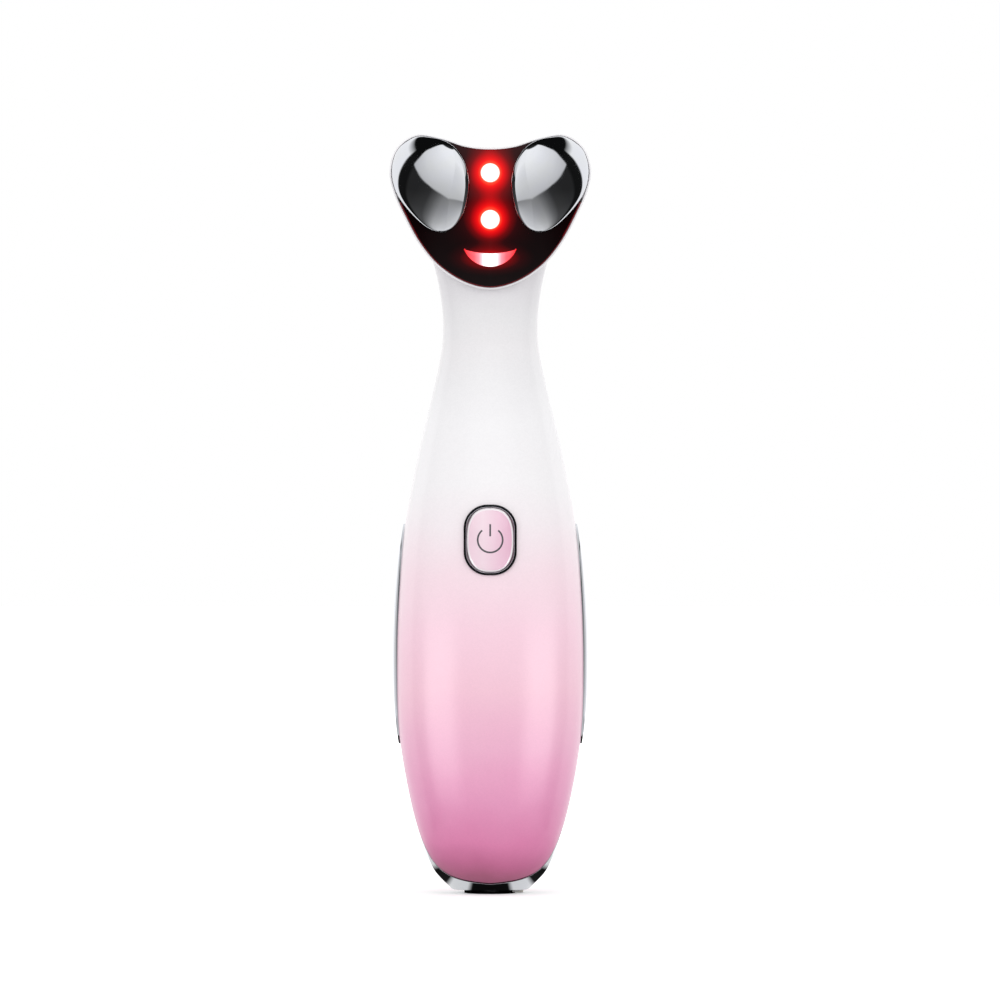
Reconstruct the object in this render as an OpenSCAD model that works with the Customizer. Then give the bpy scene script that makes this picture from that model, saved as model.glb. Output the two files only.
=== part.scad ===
// Handheld facial toning wand that stands upright on the ring round its charging port
// Millimetres, +Z up the wand, front towards -Y, origin at the middle of the foot

/* [Handle] */
// Height of the handle, from the foot to the top of the neck
handle_h = 131; // [127:1:158]
// Width of the handle across its belly
belly_w = 38.6; // [37:0.2:47]
// Depth of the handle from front to back at its belly
belly_d = 32.6; // [31.6:0.2:40]
// Wall of the two handle shells
shell_wall = 1.8; // [1.5:0.1:2.2]
// How much lower the neck's front ends than its sides and back, inside the head
neck_notch = 6.1; // [5.7:0.1:7]

/* [Tail cap] */
// Height of the chrome cap's edge at the front and at the back
saddle_low = 2.15; // [1.9:0.05:3]
// Height of the tongue that the cap sends up each side
saddle_high = 14.85; // [11:0.05:18]
// Angle from the side at which a tongue is down to half its height
tongue_angle = 17.6; // [14:0.2:22]
// Gap between the cap and the painted shells
tail_gap = 0.2; // [0.15:0.05:0.3]
// Wall of the cap's lip inside the shells
lip_wall = 0.9; // [0.7:0.1:1.1]
// Height of that lip above the cap's edge
lip_h = 3; // [2:0.5:5]
// Height of the top of the cap's floor
floor_z = 3.1; // [2.9:0.1:3.4]

/* [Charging port] */
// Radius of the socket that takes the charging plug
plug_r = 4.3; // [3.6:0.1:4.4]
// Depth of that socket
plug_depth = 3.2; // [2.6:0.1:5]
// Step from the plug socket out to the seat of the port cover
cover_step = 0.3; // [0.2:0.05:0.4]
// Depth of the cover's seat
cover_seat_h = 1.4; // [1:0.1:2]
// Wall of the ring round the cover's seat
port_ring_wall = 0.7; // [0.5:0.05:0.8]
// Radius of the barrel hole in the charging socket
barrel_r = 1.75; // [1.2:0.05:2.8]
// Radius of the charge light's lens
charge_lens_r = 0.85; // [0.6:0.05:1]
// Angle of the charge light round the cap, from the right side towards the back
charge_light_angle = 135; // [110:1:150]

/* [Side strips] */
// Height at which the side strips begin
strip_low = 30.2; // [26:0.2:34]
// Height at which the side strips end
strip_high = 75.9; // [66:0.2:84]
// Width of a side strip at its middle
strip_w = 8; // [6:0.5:10]
// How far a side strip stands out at its middle
strip_t = 0.75; // [0.5:0.05:1]
// Heights of the two lugs that hold a strip
lug_heights = [40, 66]; // [36:0.5:70]
// Width and height of a lug
lug_size = 3; // [2:0.5:4]

/* [Power button] */
// Height of the middle of the button
button_z = 72.3; // [66:0.1:76]
// Width of the ring round the button
button_w = 10.75; // [9:0.05:13]
// Height of the ring round the button
button_h = 14.3; // [12:0.1:17.2]
// Corner radius of that ring
button_corner = 4.8; // [3.8:0.1:4.8]
// Width of the ring's edge
bezel_rim = 0.55; // [0.4:0.05:0.8]
// How far the ring stands out of the shell
bezel_proud = 0.35; // [0.2:0.05:0.5]
// Crown of the button above the shell
button_crown = 0.75; // [0.5:0.05:1]
// Travel of the button
button_travel = 0.3; // [0.2:0.05:0.35]
// Gap round the button in its ring
button_gap = 0.12; // [0.1:0.01:0.2]

/* [Head] */
// Width of the heart-shaped head
head_w = 41.2; // [41:0.2:49.4]
// Height of the head, from its tip to the top of its ears
head_h = 31.8; // [31.8:0.2:38]
// How far the head's tip lies below the handle's height
head_drop = 7.8; // [7:0.1:9]
// Distance from the handle's axis forward to the head's rim
head_front = 10.4; // [10.2:0.1:12]
// Depth of the head behind its rim
head_d = 16.4; // [15:0.2:19]
// Wall of the head
head_wall = 1.6; // [1.3:0.1:2]
// How far the face would sweep back at the sweep's reach
face_sweep = 7.9; // [5:0.1:8.4]
// Reach of the sweep, outward from its middle
sweep_reach = 24; // [23:0.2:30]
// Height of the sweep's middle above the tip of the head
sweep_up = 12.8; // [12:0.1:14]
// Thickness of the face window
window_t = 1.1; // [0.9:0.1:1.4]

/* [Electrode pads] */
// Width of a pad
pad_w = 15.8; // [13.2:0.1:16]
// Length of a pad
pad_l = 19.6; // [16.4:0.1:19.8]
// Height of a pad's edge above the window
pad_rise = 0.5; // [0.3:0.1:1]
// Height of a pad's dome above its edge
pad_dome = 1.6; // [1.3:0.1:2.4]
// Wall of a pad
pad_wall = 1.3; // [1.1:0.1:1.5]
// Distance of a pad's middle from the middle of the face
pad_x = 12.15; // [11.95:0.05:12.3]
// Height of a pad's middle above the tip of the head
pad_up = 21.5; // [21.2:0.1:21.6]

/* [Lights] */
// Radius of the two round lights
light_r = 2; // [1.5:0.05:2.4]
// Heights of the two round lights above the tip of the head
light_heights = [14.2, 23.7]; // [12:0.1:25]
// Width of the crescent light
smile_w = 10.8; // [9:0.1:11.4]
// Height of the crescent's corners above the tip of the head
smile_up = 8.2; // [7.8:0.1:8.6]
// Drop of the crescent's upper edge at its middle
smile_dip = 0.9; // [0.5:0.1:1.2]
// Drop of the crescent's lower edge at its middle
smile_drop = 3.6; // [3:0.1:4]

/* [Board and battery] */
// Thickness of the circuit boards
board_t = 1.2; // [1:0.1:1.6]
// Width of the main board
board_w = 20; // [17:0.5:22]
// Height of the main board's lower end
board_low = 16; // [15:0.5:18]
// Height of the main board's upper end
board_high = 90; // [88:0.5:92]
// Distance from the button's surface back to the main board
button_stack = 7.9; // [7.4:0.1:9]
// Thickness of the inner chassis
chassis_t = 1.6; // [1.2:0.1:2]
// Radius of the battery
battery_r = 7; // [5:0.1:7.4]
// Length of the battery
battery_l = 50; // [42:1:51]
// Height of the battery's lower end
battery_low = 24; // [23:0.5:27]
// Distance of the chassis screws from the middle
screw_x = 8; // [7.6:0.1:8.4]
// Heights of the chassis screws
screw_heights = [25, 79]; // [20:0.5:82]
// Thread radius of the chassis screws
screw_r = 0.9; // [0.8:0.05:1]

/* [Vibration motor] */
// Radius of the motor
motor_r = 3.5; // [2.8:0.1:3.5]
// Length of the motor
motor_l = 12; // [9:0.5:12]
// Height of the motor's lower end
motor_low = 96; // [95:0.5:97]
// Radius of the eccentric weight
weight_r = 2.9; // [2.2:0.1:3.1]
// Length of the eccentric weight
weight_l = 4.5; // [3:0.5:5]

/* [Hidden] */

// Colours
PEARL_PINK = "#f0c3d8";
PEARL_WHITE = "#f5f3f5";
CHROME = "#c9ccd0";
DARK_CHROME = "#55585c";
FACE_RED = "#2b0508";
LIT_RED = "#ff4a3a";
SILICONE = "#eeeadf";
BOARD_GREEN = "#1f6b45";
CHIP_BLACK = "#22252a";
STEEL = "#9aa0a6";
COPPER = "#b87a3c";
DARK_PLASTIC = "#2e3136";

// Clearances
touch = 0.02;
slide_fit = 0.08;
part_gap = 0.1;
tip_gap = 0.06;
past = 1;

// Facets: round a full section, and along a half shell
round_n = 48;
half_n = round_n / 2;
shell_rows = 36;
$fn = 48;

// Handle outline: share of its height, shares of half its width and half its depth,
// forward lean in millimetres, squareness of the section (2 is an ellipse)
OUTLINE = [
    [0.007, 0.415, 0.436, 0.0, 2.0],
    [0.036, 0.598, 0.613, 0.0, 2.05],
    [0.077, 0.720, 0.736, 0.0, 2.1],
    [0.153, 0.860, 0.871, 0.0, 2.2],
    [0.252, 0.969, 0.969, 0.0, 2.3],
    [0.351, 1.000, 1.000, 0.0, 2.3],
    [0.458, 0.982, 0.982, 0.0, 2.3],
    [0.573, 0.907, 0.896, 0.0, 2.3],
    [0.687, 0.764, 0.742, 0.3, 2.25],
    [0.794, 0.591, 0.571, 0.9, 2.2],
    [0.855, 0.510, 0.488, 1.3, 2.15],
    [0.901, 0.504, 0.466, 1.6, 2.15],
    [0.951, 0.549, 0.451, 1.75, 2.1],
    [1.000, 0.632, 0.380, 2.8, 2.1]
];

// Right half of the head's outline from the tip up: shares of half its width and of its height
HEART = [
    [0.000, 0.000], [0.267, 0.041], [0.519, 0.148], [0.709, 0.296], [0.854, 0.469],
    [0.961, 0.632], [1.000, 0.774], [0.932, 0.918], [0.743, 1.000], [0.505, 0.978],
    [0.252, 0.925], [0.000, 0.909]
];

// Outline of the right pad, counterclockwise from its lowest point, seen from the front:
// shares of half its width and half its length
PAD = [
    [-0.250, -1.000], [0.089, -0.913], [0.453, -0.652], [0.768, -0.330], [0.935, -0.049], [1.000, 0.278],
    [0.950, 0.565], [0.793, 0.800], [0.393, 1.000], [0.004, 0.984], [-0.335, 0.912], [-0.652, 0.734],
    [-0.903, 0.411], [-0.998, 0.053], [-0.960, -0.294], [-0.828, -0.662], [-0.577, -0.918]
];

// General functions
function unit(v) = v / norm(v);
function reversed(v) = [for (i = [len(v) - 1 : -1 : 0]) v[i]];
function middle(points) = [for (k = [0 : 2]) sum([for (p = points) p[k]]) / len(points)];
function sum(v, i = 0) = i < len(v) ? v[i] + sum(v, i + 1) : 0;
function power_sine(s, e) = sign(s) * pow(abs(s), 2 / e);

// Cubic through four values, for the span between the middle two
function cubic(a, b, c, d, u) =
    b + u * ((c - a) / 2 + u * (a - 2.5 * b + 2 * c - d / 2 + u * ((d - a) / 2 + 1.5 * (b - c))));

// Open path of points, rounded off by a cubic with a few steps in each span
function smoothed(path, steps) = let (last = len(path) - 1) [
    for (i = [0 : last - 1])
        for (s = [0 : steps - 1])
            cubic(path[max(i - 1, 0)], path[i], path[i + 1], path[min(i + 2, last)], s / steps),
    path[last]
];

// Handle outline by height
function span_of(f, i = 0) = (i >= len(OUTLINE) - 2 || f < OUTLINE[i + 1][0]) ? i : span_of(f, i + 1);
function slope_at(i, k) = let (a = OUTLINE[max(i - 1, 0)], b = OUTLINE[min(i + 1, len(OUTLINE) - 1)])
    (b[k] - a[k]) / (b[0] - a[0]);
function outline(z, k) =
    let (f = z / handle_h)
    let (i = span_of(f))
    let (a = OUTLINE[i], b = OUTLINE[i + 1])
    let (h = b[0] - a[0], u = (f - a[0]) / h)
    let (m = slope_at(i, k) * h, n = slope_at(i + 1, k) * h)
    a[k] + u * (m + u * (3 * (b[k] - a[k]) - 2 * m - n + u * (2 * (a[k] - b[k]) + m + n)));
function half_w(z) = outline(z, 1) * belly_w / 2;
function half_d(z) = outline(z, 2) * belly_d / 2;
function lean_y(z) = -outline(z, 3);
function square_e(z) = outline(z, 4);

// Point on the handle's section at a height, moved out by grow; angle 0 is the right side, 90 the back
function skin_point(z, angle, grow = 0) = let (e = square_e(z)) [
    (half_w(z) + grow) * power_sine(cos(angle), e),
    lean_y(z) + (half_d(z) + grow) * power_sine(sin(angle), e),
    z
];
// Front surface of the handle at x, and its side surface at y
function front_y(x, z, grow = 0) = let (e = square_e(z))
    lean_y(z) - (half_d(z) + grow) * pow(1 - pow(abs(x) / (half_w(z) + grow), e), 1 / e);
function side_x(y, z, grow = 0) = let (e = square_e(z))
    (half_w(z) + grow) * pow(1 - pow(abs(y - lean_y(z)) / (half_d(z) + grow), e), 1 / e);

// Lower edge of the shells: low at front and back, a tongue of the cap at each side
function bell(a) = 1 / (1 + pow(a / tongue_angle, 1.9));
function off_side(angle) = abs(asin(sin(angle)));
function saddle_z(angle) =
    saddle_low + (saddle_high - saddle_low) * (bell(off_side(angle)) - bell(90)) / (1 - bell(90));
// Upper edge of the shells, inside the head: lower at the front, to stay under the face's frame
neck_rise = 0.3;
function neck_top(angle) = handle_h + neck_rise - neck_notch * pow(max(-sin(angle), 0), 1.2);

// Angles of the columns round the handle, closer together at its sides
crowding = 0.4;
function column(j) = let (h = floor(j / half_n), t = j / half_n - h)
    180 * h + 180 * t * (1 - crowding) + 90 * crowding * (1 - cos(180 * t));

// Solid through a row of rings of equal length, each ring seen counterclockwise from the row's far end
module skin(rings, ends = "fan") {
    n = len(rings[0]);
    m = len(rings);
    spans = ends == "loop" ? m : m - 1;
    first_mid = n * m;
    last_mid = n * m + 1;
    last = n * (m - 1);
    points = concat(
        [for (ring = rings) each ring],
        ends == "fan" ? [middle(rings[0]), middle(rings[m - 1])] : []
    );
    sides = [
        for (i = [0 : spans - 1])
            for (j = [0 : n - 1])
                let (k = (j + 1) % n, a = i * n, b = ((i + 1) % m) * n)
                    each [[a + j, b + j, b + k], [a + j, b + k, a + k]]
    ];
    fans = [
        for (j = [0 : n - 1])
            let (k = (j + 1) % n)
                each [[first_mid, j, k], [last_mid, last + k, last + j]]
    ];
    strips = [
        for (j = [0 : n / 2 - 2])
            let (k = j + 1, p = n - 1 - j, q = n - 2 - j)
                each [
                    [j, k, q], [j, q, p],
                    [last + k, last + j, last + q], [last + q, last + j, last + p]
                ]
    ];
    caps = ends == "fan" ? fans : ends == "strip" ? strips : [];
    polyhedron(points, concat(sides, caps));
}

// Thin plate between two grids of points
module plate_between(outer, inner) {
    skin([for (i = [0 : len(outer) - 1]) concat(outer[i], reversed(inner[i]))], "strip");
}

// Round wire along a path
module wire(path, r, steps = 3) {
    line = smoothed(path, steps);
    last = len(line) - 1;
    skin([
        for (i = [0 : last])
            let (t = unit(line[min(i + 1, last)] - line[max(i - 1, 0)]))
                let (u = unit(cross(t, abs(t[0]) > 0.8 ? [0, 1, 0] : [1, 0, 0])))
                    let (v = cross(t, u))
                        [for (k = [0 : 7]) line[i] + r * (cos(k * 45) * u + sin(k * 45) * v)]
    ]);
}

// Outline of a flat strip of metal along a path in the plane
function strip_outline(path, t) =
    let (last = len(path) - 1)
    let (normals = [
        for (i = [0 : last])
            let (d = unit(path[min(i + 1, last)] - path[max(i - 1, 0)])) [-d[1], d[0]]
    ])
    concat(
        [for (i = [0 : last]) path[i] + t / 2 * normals[i]],
        [for (i = [last : -1 : 0]) path[i] - t / 2 * normals[i]]
    );

// Solids that run front to back: x and z as drawn, from y0 to y1
module through_y(y0, y1) {
    translate([0, y1, 0])
        rotate([90, 0, 0])
            linear_extrude(y1 - y0)
                children();
}
module rod_y(x, z, y0, y1, r) {
    translate([x, y0, z])
        rotate([-90, 0, 0])
            cylinder(h = y1 - y0, r = r);
}
module block(low, high) {
    translate(low)
        cube(high - low);
}

// Handle shells
function shell_ring(i, start) =
    let (angles = [for (j = [0 : half_n]) column(start + j)])
    let (heights = [
        for (a = angles)
            let (low = saddle_z(a) + tail_gap) low + (neck_top(a) - low) * pow(i / shell_rows, 1.15)
    ])
    concat(
        [for (j = [0 : half_n]) skin_point(heights[j], angles[j])],
        [for (j = [half_n : -1 : 0]) skin_point(heights[j], angles[j], -shell_wall)]
    );
module half_shell(start) {
    skin([for (i = [0 : shell_rows]) shell_ring(i, start)], "strip");
}
module lug_slots() {
    slot = lug_size + 2 * part_gap;
    for (side = [-1, 1])
        for (z = lug_heights)
            translate([side * half_w(z), lean_y(z), z])
                cube([2 * (shell_wall + past), slot, slot], center = true);
}

rib_t = 1.2;
rib_bite = 0.5;
sleeve_wall = 0.5;
sleeve_r = motor_r + sleeve_wall;
motor_y = lean_y(motor_low + motor_l / 2) + 0.3;
motor_ribs = [motor_low + 2, motor_low + motor_l - 4];
battery_ribs = [battery_low + 9, battery_low + battery_l - 9];
flex_w = 6;
flex_slot = 3.2;

// Rib across one half of the handle
module half_rib(z, start) {
    mid = z + rib_t / 2;
    translate([0, 0, z])
        linear_extrude(rib_t)
            polygon([
                for (j = [0 : half_n])
                    let (p = skin_point(mid, start + j * 180 / half_n, rib_bite - shell_wall)) [p[0], p[1]]
            ]);
}
module motor_rib(z, start) {
    difference() {
        half_rib(z, start);
        translate([0, motor_y, z - past])
            cylinder(h = rib_t + 2 * past, r = sleeve_r + touch);
        block([-flex_slot - part_gap, -belly_d, z - past], [flex_slot + part_gap, motor_y, z + rib_t + past]);
        block(
            [-belly_w, lean_y(z) - part_gap, z - past],
            [belly_w, lean_y(z + rib_t) + part_gap, z + rib_t + past]
        );
    }
}
module battery_rib(z) {
    difference() {
        intersection() {
            half_rib(z, 0);
            block([-belly_w, battery_y, z - past], [belly_w, belly_d, z + rib_t + past]);
        }
        translate([0, battery_y, z - past])
            cylinder(h = rib_t + 2 * past, r = battery_r + part_gap);
    }
}

boss_r = 2.4;
boss_bite = 0.7;
thread_depth = 5.5;
module chassis_bosses() {
    for (x = [-screw_x, screw_x])
        for (z = screw_heights)
            rod_y(x, z, front_y(x, z, -shell_wall) - boss_bite, board_front - touch, boss_r);
}
module chassis_threads() {
    for (x = [-screw_x, screw_x])
        for (z = screw_heights)
            rod_y(x, z, board_front - thread_depth, board_front + past, screw_r + touch);
}

module front_shell() {
    color(PEARL_PINK)
        difference() {
            union() {
                half_shell(half_n);
                for (z = motor_ribs)
                    motor_rib(z, 180);
                chassis_bosses();
            }
            lug_slots();
            chassis_threads();
            button_cut(touch);
        }
}

module rear_shell() {
    color(PEARL_PINK)
        difference() {
            union() {
                half_shell(0);
                for (z = motor_ribs)
                    motor_rib(z, 0);
                for (z = battery_ribs)
                    battery_rib(z);
            }
            lug_slots();
        }
}

// Side strips: a leaf that follows the handle's side, thickest along its middle
strip_rows = 20;
strip_cols = 6;
strip_edge_t = 0.25;
function leaf(u) = pow(max(1 - pow(abs(2 * u - 1), 2.2), 0), 0.6);
function strip_point(i, j, outer) =
    let (u = 0.008 + 0.984 * i / strip_rows, v = 2 * j / strip_cols - 1)
    let (z = strip_low + (strip_high - strip_low) * u)
    let (y = lean_y(z) + v * leaf(u) * strip_w / 2)
    let (t = strip_edge_t + (strip_t - strip_edge_t) * leaf(u) * (1 - 0.4 * v * v))
    [side_x(y, z) + touch + (outer ? t : 0), y, z];
module side_strip() {
    plate_between(
        [for (i = [0 : strip_rows]) [for (j = [0 : strip_cols]) strip_point(i, j, true)]],
        [for (i = [0 : strip_rows]) [for (j = [0 : strip_cols]) strip_point(i, j, false)]]
    );
    for (z = lug_heights)
        translate([0, lean_y(z) - lug_size / 2, z - lug_size / 2])
            block([lug_end(z), 0, 0], [half_w(z) + strip_edge_t, lug_size, lug_size]);
}
function lug_end(z) = half_w(z) - shell_wall - 1;
module right_side_strip() {
    color(CHROME)
        side_strip();
}
module left_side_strip() {
    color(CHROME)
        mirror([1, 0, 0])
            side_strip();
}

// Charging port sizes
cover_seat_r = plug_r + cover_step;
port_ring_r = cover_seat_r + port_ring_wall;
port_top = cover_seat_h + plug_depth;
flange_r = port_ring_r + 0.5;
flange_t = 0.85;
tether_w = 3;
tether_t = 0.6;
tether_low = 0.15;
hinge_x = port_ring_r + 0.35;
root_x = port_ring_r + 0.65;
root_t = 0.8;

// Tail cap
cap_base = OUTLINE[0][0] * handle_h;
cap_rows = 6;
base_round = 0.3;
lip_in = shell_wall + 2 * part_gap;
function cap_ring(a) =
    let (edge = saddle_z(a), top = edge + lip_h, core = port_ring_r - past, inner = -lip_in - lip_wall)
    concat(
        [[core * cos(a), core * sin(a), cap_base - base_round / 2]],
        [let (p = skin_point(cap_base, a, -base_round)) [p[0], p[1], cap_base - base_round / 2]],
        [for (i = [0 : cap_rows]) skin_point(cap_base + (edge - cap_base) * i / cap_rows, a)],
        [for (i = [0 : 3]) skin_point(edge + (top - edge) * i / 3, a, -lip_in)],
        [for (i = [0 : cap_rows]) skin_point(top + (floor_z - top) * i / cap_rows, a, inner)],
        [[core * cos(a), core * sin(a), floor_z]]
    );
// The charge light's place on the cap and the way it faces
light_z = cap_base + 0.95;
LIGHT_AT = skin_point(light_z, charge_light_angle);
LIGHT_WAY = unit(cross(
    skin_point(light_z, charge_light_angle + 1) - skin_point(light_z, charge_light_angle - 1),
    skin_point(light_z + 0.1, charge_light_angle) - skin_point(light_z - 0.1, charge_light_angle)
));
lens_depth = 1.2;
led_depth = 2.4;
module charge_light_axis() {
    translate(LIGHT_AT)
        rotate([0, acos(LIGHT_WAY[2]), atan2(LIGHT_WAY[1], LIGHT_WAY[0])])
            children();
}
module tail_cap() {
    color(CHROME)
        difference() {
            skin([for (j = [round_n - 1 : -1 : 0]) cap_ring(column(j))], "loop");
            translate([0, 0, -past])
                cylinder(h = floor_z + 2 * past, r = port_ring_r + touch);
            translate([0, 0, floor_z + touch])
                cylinder(h = flange_t + past, r = flange_r + part_gap);
            block(
                [port_ring_r, -tether_w / 2 - part_gap, floor_z + touch],
                [root_x + root_t + 0.3, tether_w / 2 + part_gap, floor_z + past]
            );
            charge_light_axis()
                translate([0, 0, -3.4])
                    cylinder(h = 3.4 + past, r = charge_lens_r + 0.05);
            block(
                [port_ring_r - past, -tether_w / 2 - part_gap, -past],
                [root_x + root_t + part_gap / 2, tether_w / 2 + part_gap, tether_low + tether_t + 0.35]
            );
            block(
                [root_x - part_gap / 2, -tether_w / 2 - part_gap / 2, -past],
                [root_x + root_t + part_gap / 2, tether_w / 2 + part_gap / 2, floor_z + past]
            );
        }
}

module port_ring() {
    color(CHROME)
        difference() {
            rotate_extrude()
                polygon([
                    [cover_seat_r, 0], [port_ring_r, 0], [port_ring_r, floor_z + touch],
                    [flange_r, floor_z + touch], [flange_r, floor_z + flange_t],
                    [port_ring_r, floor_z + flange_t], [port_ring_r, port_top],
                    [plug_r, port_top], [plug_r, cover_seat_h], [cover_seat_r, cover_seat_h]
                ]);
            block(
                [0, -tether_w / 2 - part_gap, -past],
                [belly_w, tether_w / 2 + part_gap, tether_low + tether_t + 0.3]
            );
            block([port_ring_r - 0.1, -tether_w, floor_z - past], [belly_w, tether_w, port_top + past]);
        }
}

// Soft port cover: a tapered lid in its seat, with a fingernail notch and a tab out to the hinge
cover_t = cover_seat_h - 0.3;
module port_cover() {
    color(SILICONE)
        difference() {
            union() {
                translate([0, 0, tether_low])
                    cylinder(h = cover_t, r1 = cover_seat_r - slide_fit, r2 = cover_seat_r - 4 * slide_fit);
                block(
                    [0, -tether_w / 2, tether_low],
                    [hinge_x - part_gap / 2, tether_w / 2, tether_low + tether_t]
                );
            }
            translate([-cover_seat_r, 0, tether_low - past])
                cylinder(h = past + cover_t / 2, r = 1.2);
        }
}
// Its fixed end: a strap, a stem through the cap's floor and a barb above it
module port_cover_root() {
    half = tether_w / 2;
    end = root_x + root_t;
    color(SILICONE) {
        block([hinge_x + part_gap / 2, -half, tether_low], [end, half, tether_low + tether_t]);
        block([root_x, -half, tether_low], [end, half, floor_z + 0.8]);
        block([root_x - 0.15, -half, floor_z + touch], [end + 0.15, half, floor_z + 0.8]);
    }
}

module charge_light_lens() {
    color(FACE_RED)
        charge_light_axis()
            translate([0, 0, -lens_depth])
                cylinder(h = lens_depth - 0.1, r = charge_lens_r);
}
module charge_led() {
    color(LIT_RED)
        charge_light_axis()
            translate([0, 0, -led_depth])
                cylinder(h = led_depth - lens_depth - part_gap, r = charge_lens_r);
}

// Charging socket, its centre contact and its board
jack_w = 7.4;
jack_flange_r = 4.9;
jack_flange_t = 0.6;
jack_h = 8;
jack_base = port_top + touch;
jack_top = jack_base + jack_h;
charge_board_r = 8;
module dc_jack() {
    color(CHIP_BLACK)
        difference() {
            union() {
                translate([0, 0, jack_base])
                    cylinder(h = jack_flange_t, r = jack_flange_r);
                block([-jack_w / 2, -jack_w / 2, jack_base], [jack_w / 2, jack_w / 2, jack_top]);
            }
            translate([0, 0, jack_base - past])
                cylinder(h = jack_h, r = barrel_r);
        }
}
module jack_pin() {
    color(COPPER)
        translate([0, 0, jack_base + 0.6])
            cylinder(h = jack_h - past - 0.6 - touch, r = 0.65);
}
module charge_board() {
    color(BOARD_GREEN)
        translate([0, 0, jack_top + touch])
            cylinder(h = board_t, r = charge_board_r);
}

// Button opening, ring and cap, drawn square to the front
button_tilt = atan((front_y(0, button_z + 2) - front_y(0, button_z - 2)) / 4);
button_y = front_y(0, button_z);
board_front = button_y + button_stack;
board_back = board_front + board_t;
module rounded(w, h, r) {
    union() {
        square([w - 2 * r, h], center = true);
        square([w, h - 2 * r], center = true);
        for (x = [-1, 1])
            for (y = [-1, 1])
                translate([x * (w / 2 - r), y * (h / 2 - r)])
                    circle(r);
    }
}
module button_cut(grow) {
    translate([0, 0, button_z])
        through_y(button_y - 3, button_y + shell_wall + 3)
            rounded(button_w + 2 * grow, button_h + 2 * grow, button_corner + grow);
}
// Slab along the shell's slope at the button, from lift out to lift in
module slope_slab(out, in) {
    translate([0, button_y, button_z])
        rotate([-button_tilt, 0, 0])
            block([-button_w, -out, -button_h], [button_w, in, button_h]);
}
module button_bezel() {
    color(DARK_CHROME)
        intersection() {
            difference() {
                button_cut(0);
                button_cut(-bezel_rim);
            }
            slope_slab(bezel_proud, shell_wall + 0.3);
        }
}
cap_n = 40;
cap_w = button_w - 2 * bezel_rim - 2 * button_gap;
cap_h = button_h - 2 * bezel_rim - 2 * button_gap;
cap_side = 0.1;
cap_depth = shell_wall + 0.4;
// Ring of the button's cap at a share of its size, a height above the shell's slope
function cap_outline(share, lift) = [
    for (k = [0 : cap_n - 1])
        let (a = k * 360 / cap_n)
            let (x = share * cap_w / 2 * power_sine(cos(a), 2.6))
                let (z = share * cap_h / 2 * power_sine(sin(a), 2.5))
                    [x, button_y + z * tan(button_tilt) - lift, button_z + z]
];
module power_button() {
    dome = button_crown - cap_side;
    catch = (cap_w + 0.9) / cap_w;
    color(PEARL_PINK) {
        skin(concat(
            [cap_outline(catch, -cap_depth - 0.7), cap_outline(catch, -cap_depth)],
            [cap_outline(1, -cap_depth), cap_outline(1, cap_side)],
            [for (s = [0.93, 0.8, 0.6, 0.35, 0.1]) cap_outline(s, cap_side + dome * (1 - s * s))]
        ));
        rod_y(0, button_z, button_y + cap_depth, board_front - plunger_out - tip_gap, 1.3);
    }
}

// Push switch
switch_w = 6;
switch_h = 3.4;
plunger_r = 1.7;
plunger_out = 4.1;
switch_floor = 1;
module switch_body() {
    color(CHIP_BLACK)
        difference() {
            block(
                [-switch_w / 2, board_front - switch_h, button_z - switch_w / 2],
                [switch_w / 2, board_front, button_z + switch_w / 2]
            );
            rod_y(0, button_z, board_front - 2 * switch_h, board_front - switch_floor, plunger_r + slide_fit);
        }
}
module switch_plunger() {
    inner_end = board_front - switch_floor - button_travel - 0.7;
    color(STEEL)
        rod_y(0, button_z, board_front - plunger_out, inner_end, plunger_r);
}

// Head outline, seen from the front, counterclockwise from the tip, in x and z
head_tip = handle_h - head_drop;
head_mid = 17.8 / 31.8 * head_h;
heart_n = 3;
function heart_point(i) =
    let (n = len(HEART) - 1)
    let (k = ((i % (2 * n)) + 2 * n) % (2 * n))
    let (p = k <= n ? HEART[k] : HEART[2 * n - k])
    [(k <= n ? 1 : -1) * p[0] * head_w / 2, p[1] * head_h];
HEART_RING = [
    for (i = [0 : 2 * (len(HEART) - 1) - 1])
        for (s = [0 : heart_n - 1])
            cubic(heart_point(i - 1), heart_point(i), heart_point(i + 1), heart_point(i + 2), s / heart_n)
];
// The outline drawn in by inset, at a share of its size about the middle of the face
function heart_ring(inset, share, y) = [
    for (p = HEART_RING)
        let (d = p - [0, head_mid])
            let (q = share * (1 - inset / norm(d)) * d) [q[0], y, head_tip + head_mid + q[1]]
];
module heart_area(inset) {
    polygon([for (p = heart_ring(inset, 1, 0)) [p[0], p[2]]]);
}

rim_y = -head_front;
window_back = rim_y + 0.5;
tape_t = 0.25;
frame_t = 1.6;
frame_front = window_back + tape_t;
frame_back = frame_front + frame_t;
rim_lip = 0.4;

// How far the face lies behind the level of its own tip: nearly flat in the middle, sweeping back at the ears
sweep_power = 3.5;
function sweep(x, z) =
    let (far = norm([x, z - head_tip - sweep_up]))
    face_sweep * (pow(far / sweep_reach, sweep_power) - pow(sweep_up / sweep_reach, sweep_power));
// Depth of the face at x and z, at a distance behind the window's back
function face_y(x, z, behind = 0) = window_back + behind + sweep(x, z);
// Heart outline on the swept face
function face_ring(inset, share, behind) =
    [for (p = heart_ring(inset, share, 0)) [p[0], face_y(p[0], p[2], behind), p[2]]];
// Rings over the face from its middle out, two of them along the edges of the window's tape
tape_out = rim_lip + 0.4;
tape_in = head_wall + 1.2;
function face_rows(inset, behind) = concat(
    [for (s = [0.14, 0.46, 0.76]) face_ring(tape_in, s, behind)],
    [for (edge = [tape_in, tape_out, inset]) face_ring(edge, 1, behind)]
);
// Block in front of the swept face
module face_block(inset, behind) {
    skin(concat(face_rows(inset, behind), [heart_ring(inset, 1, rim_y - 5)]));
}

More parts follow.
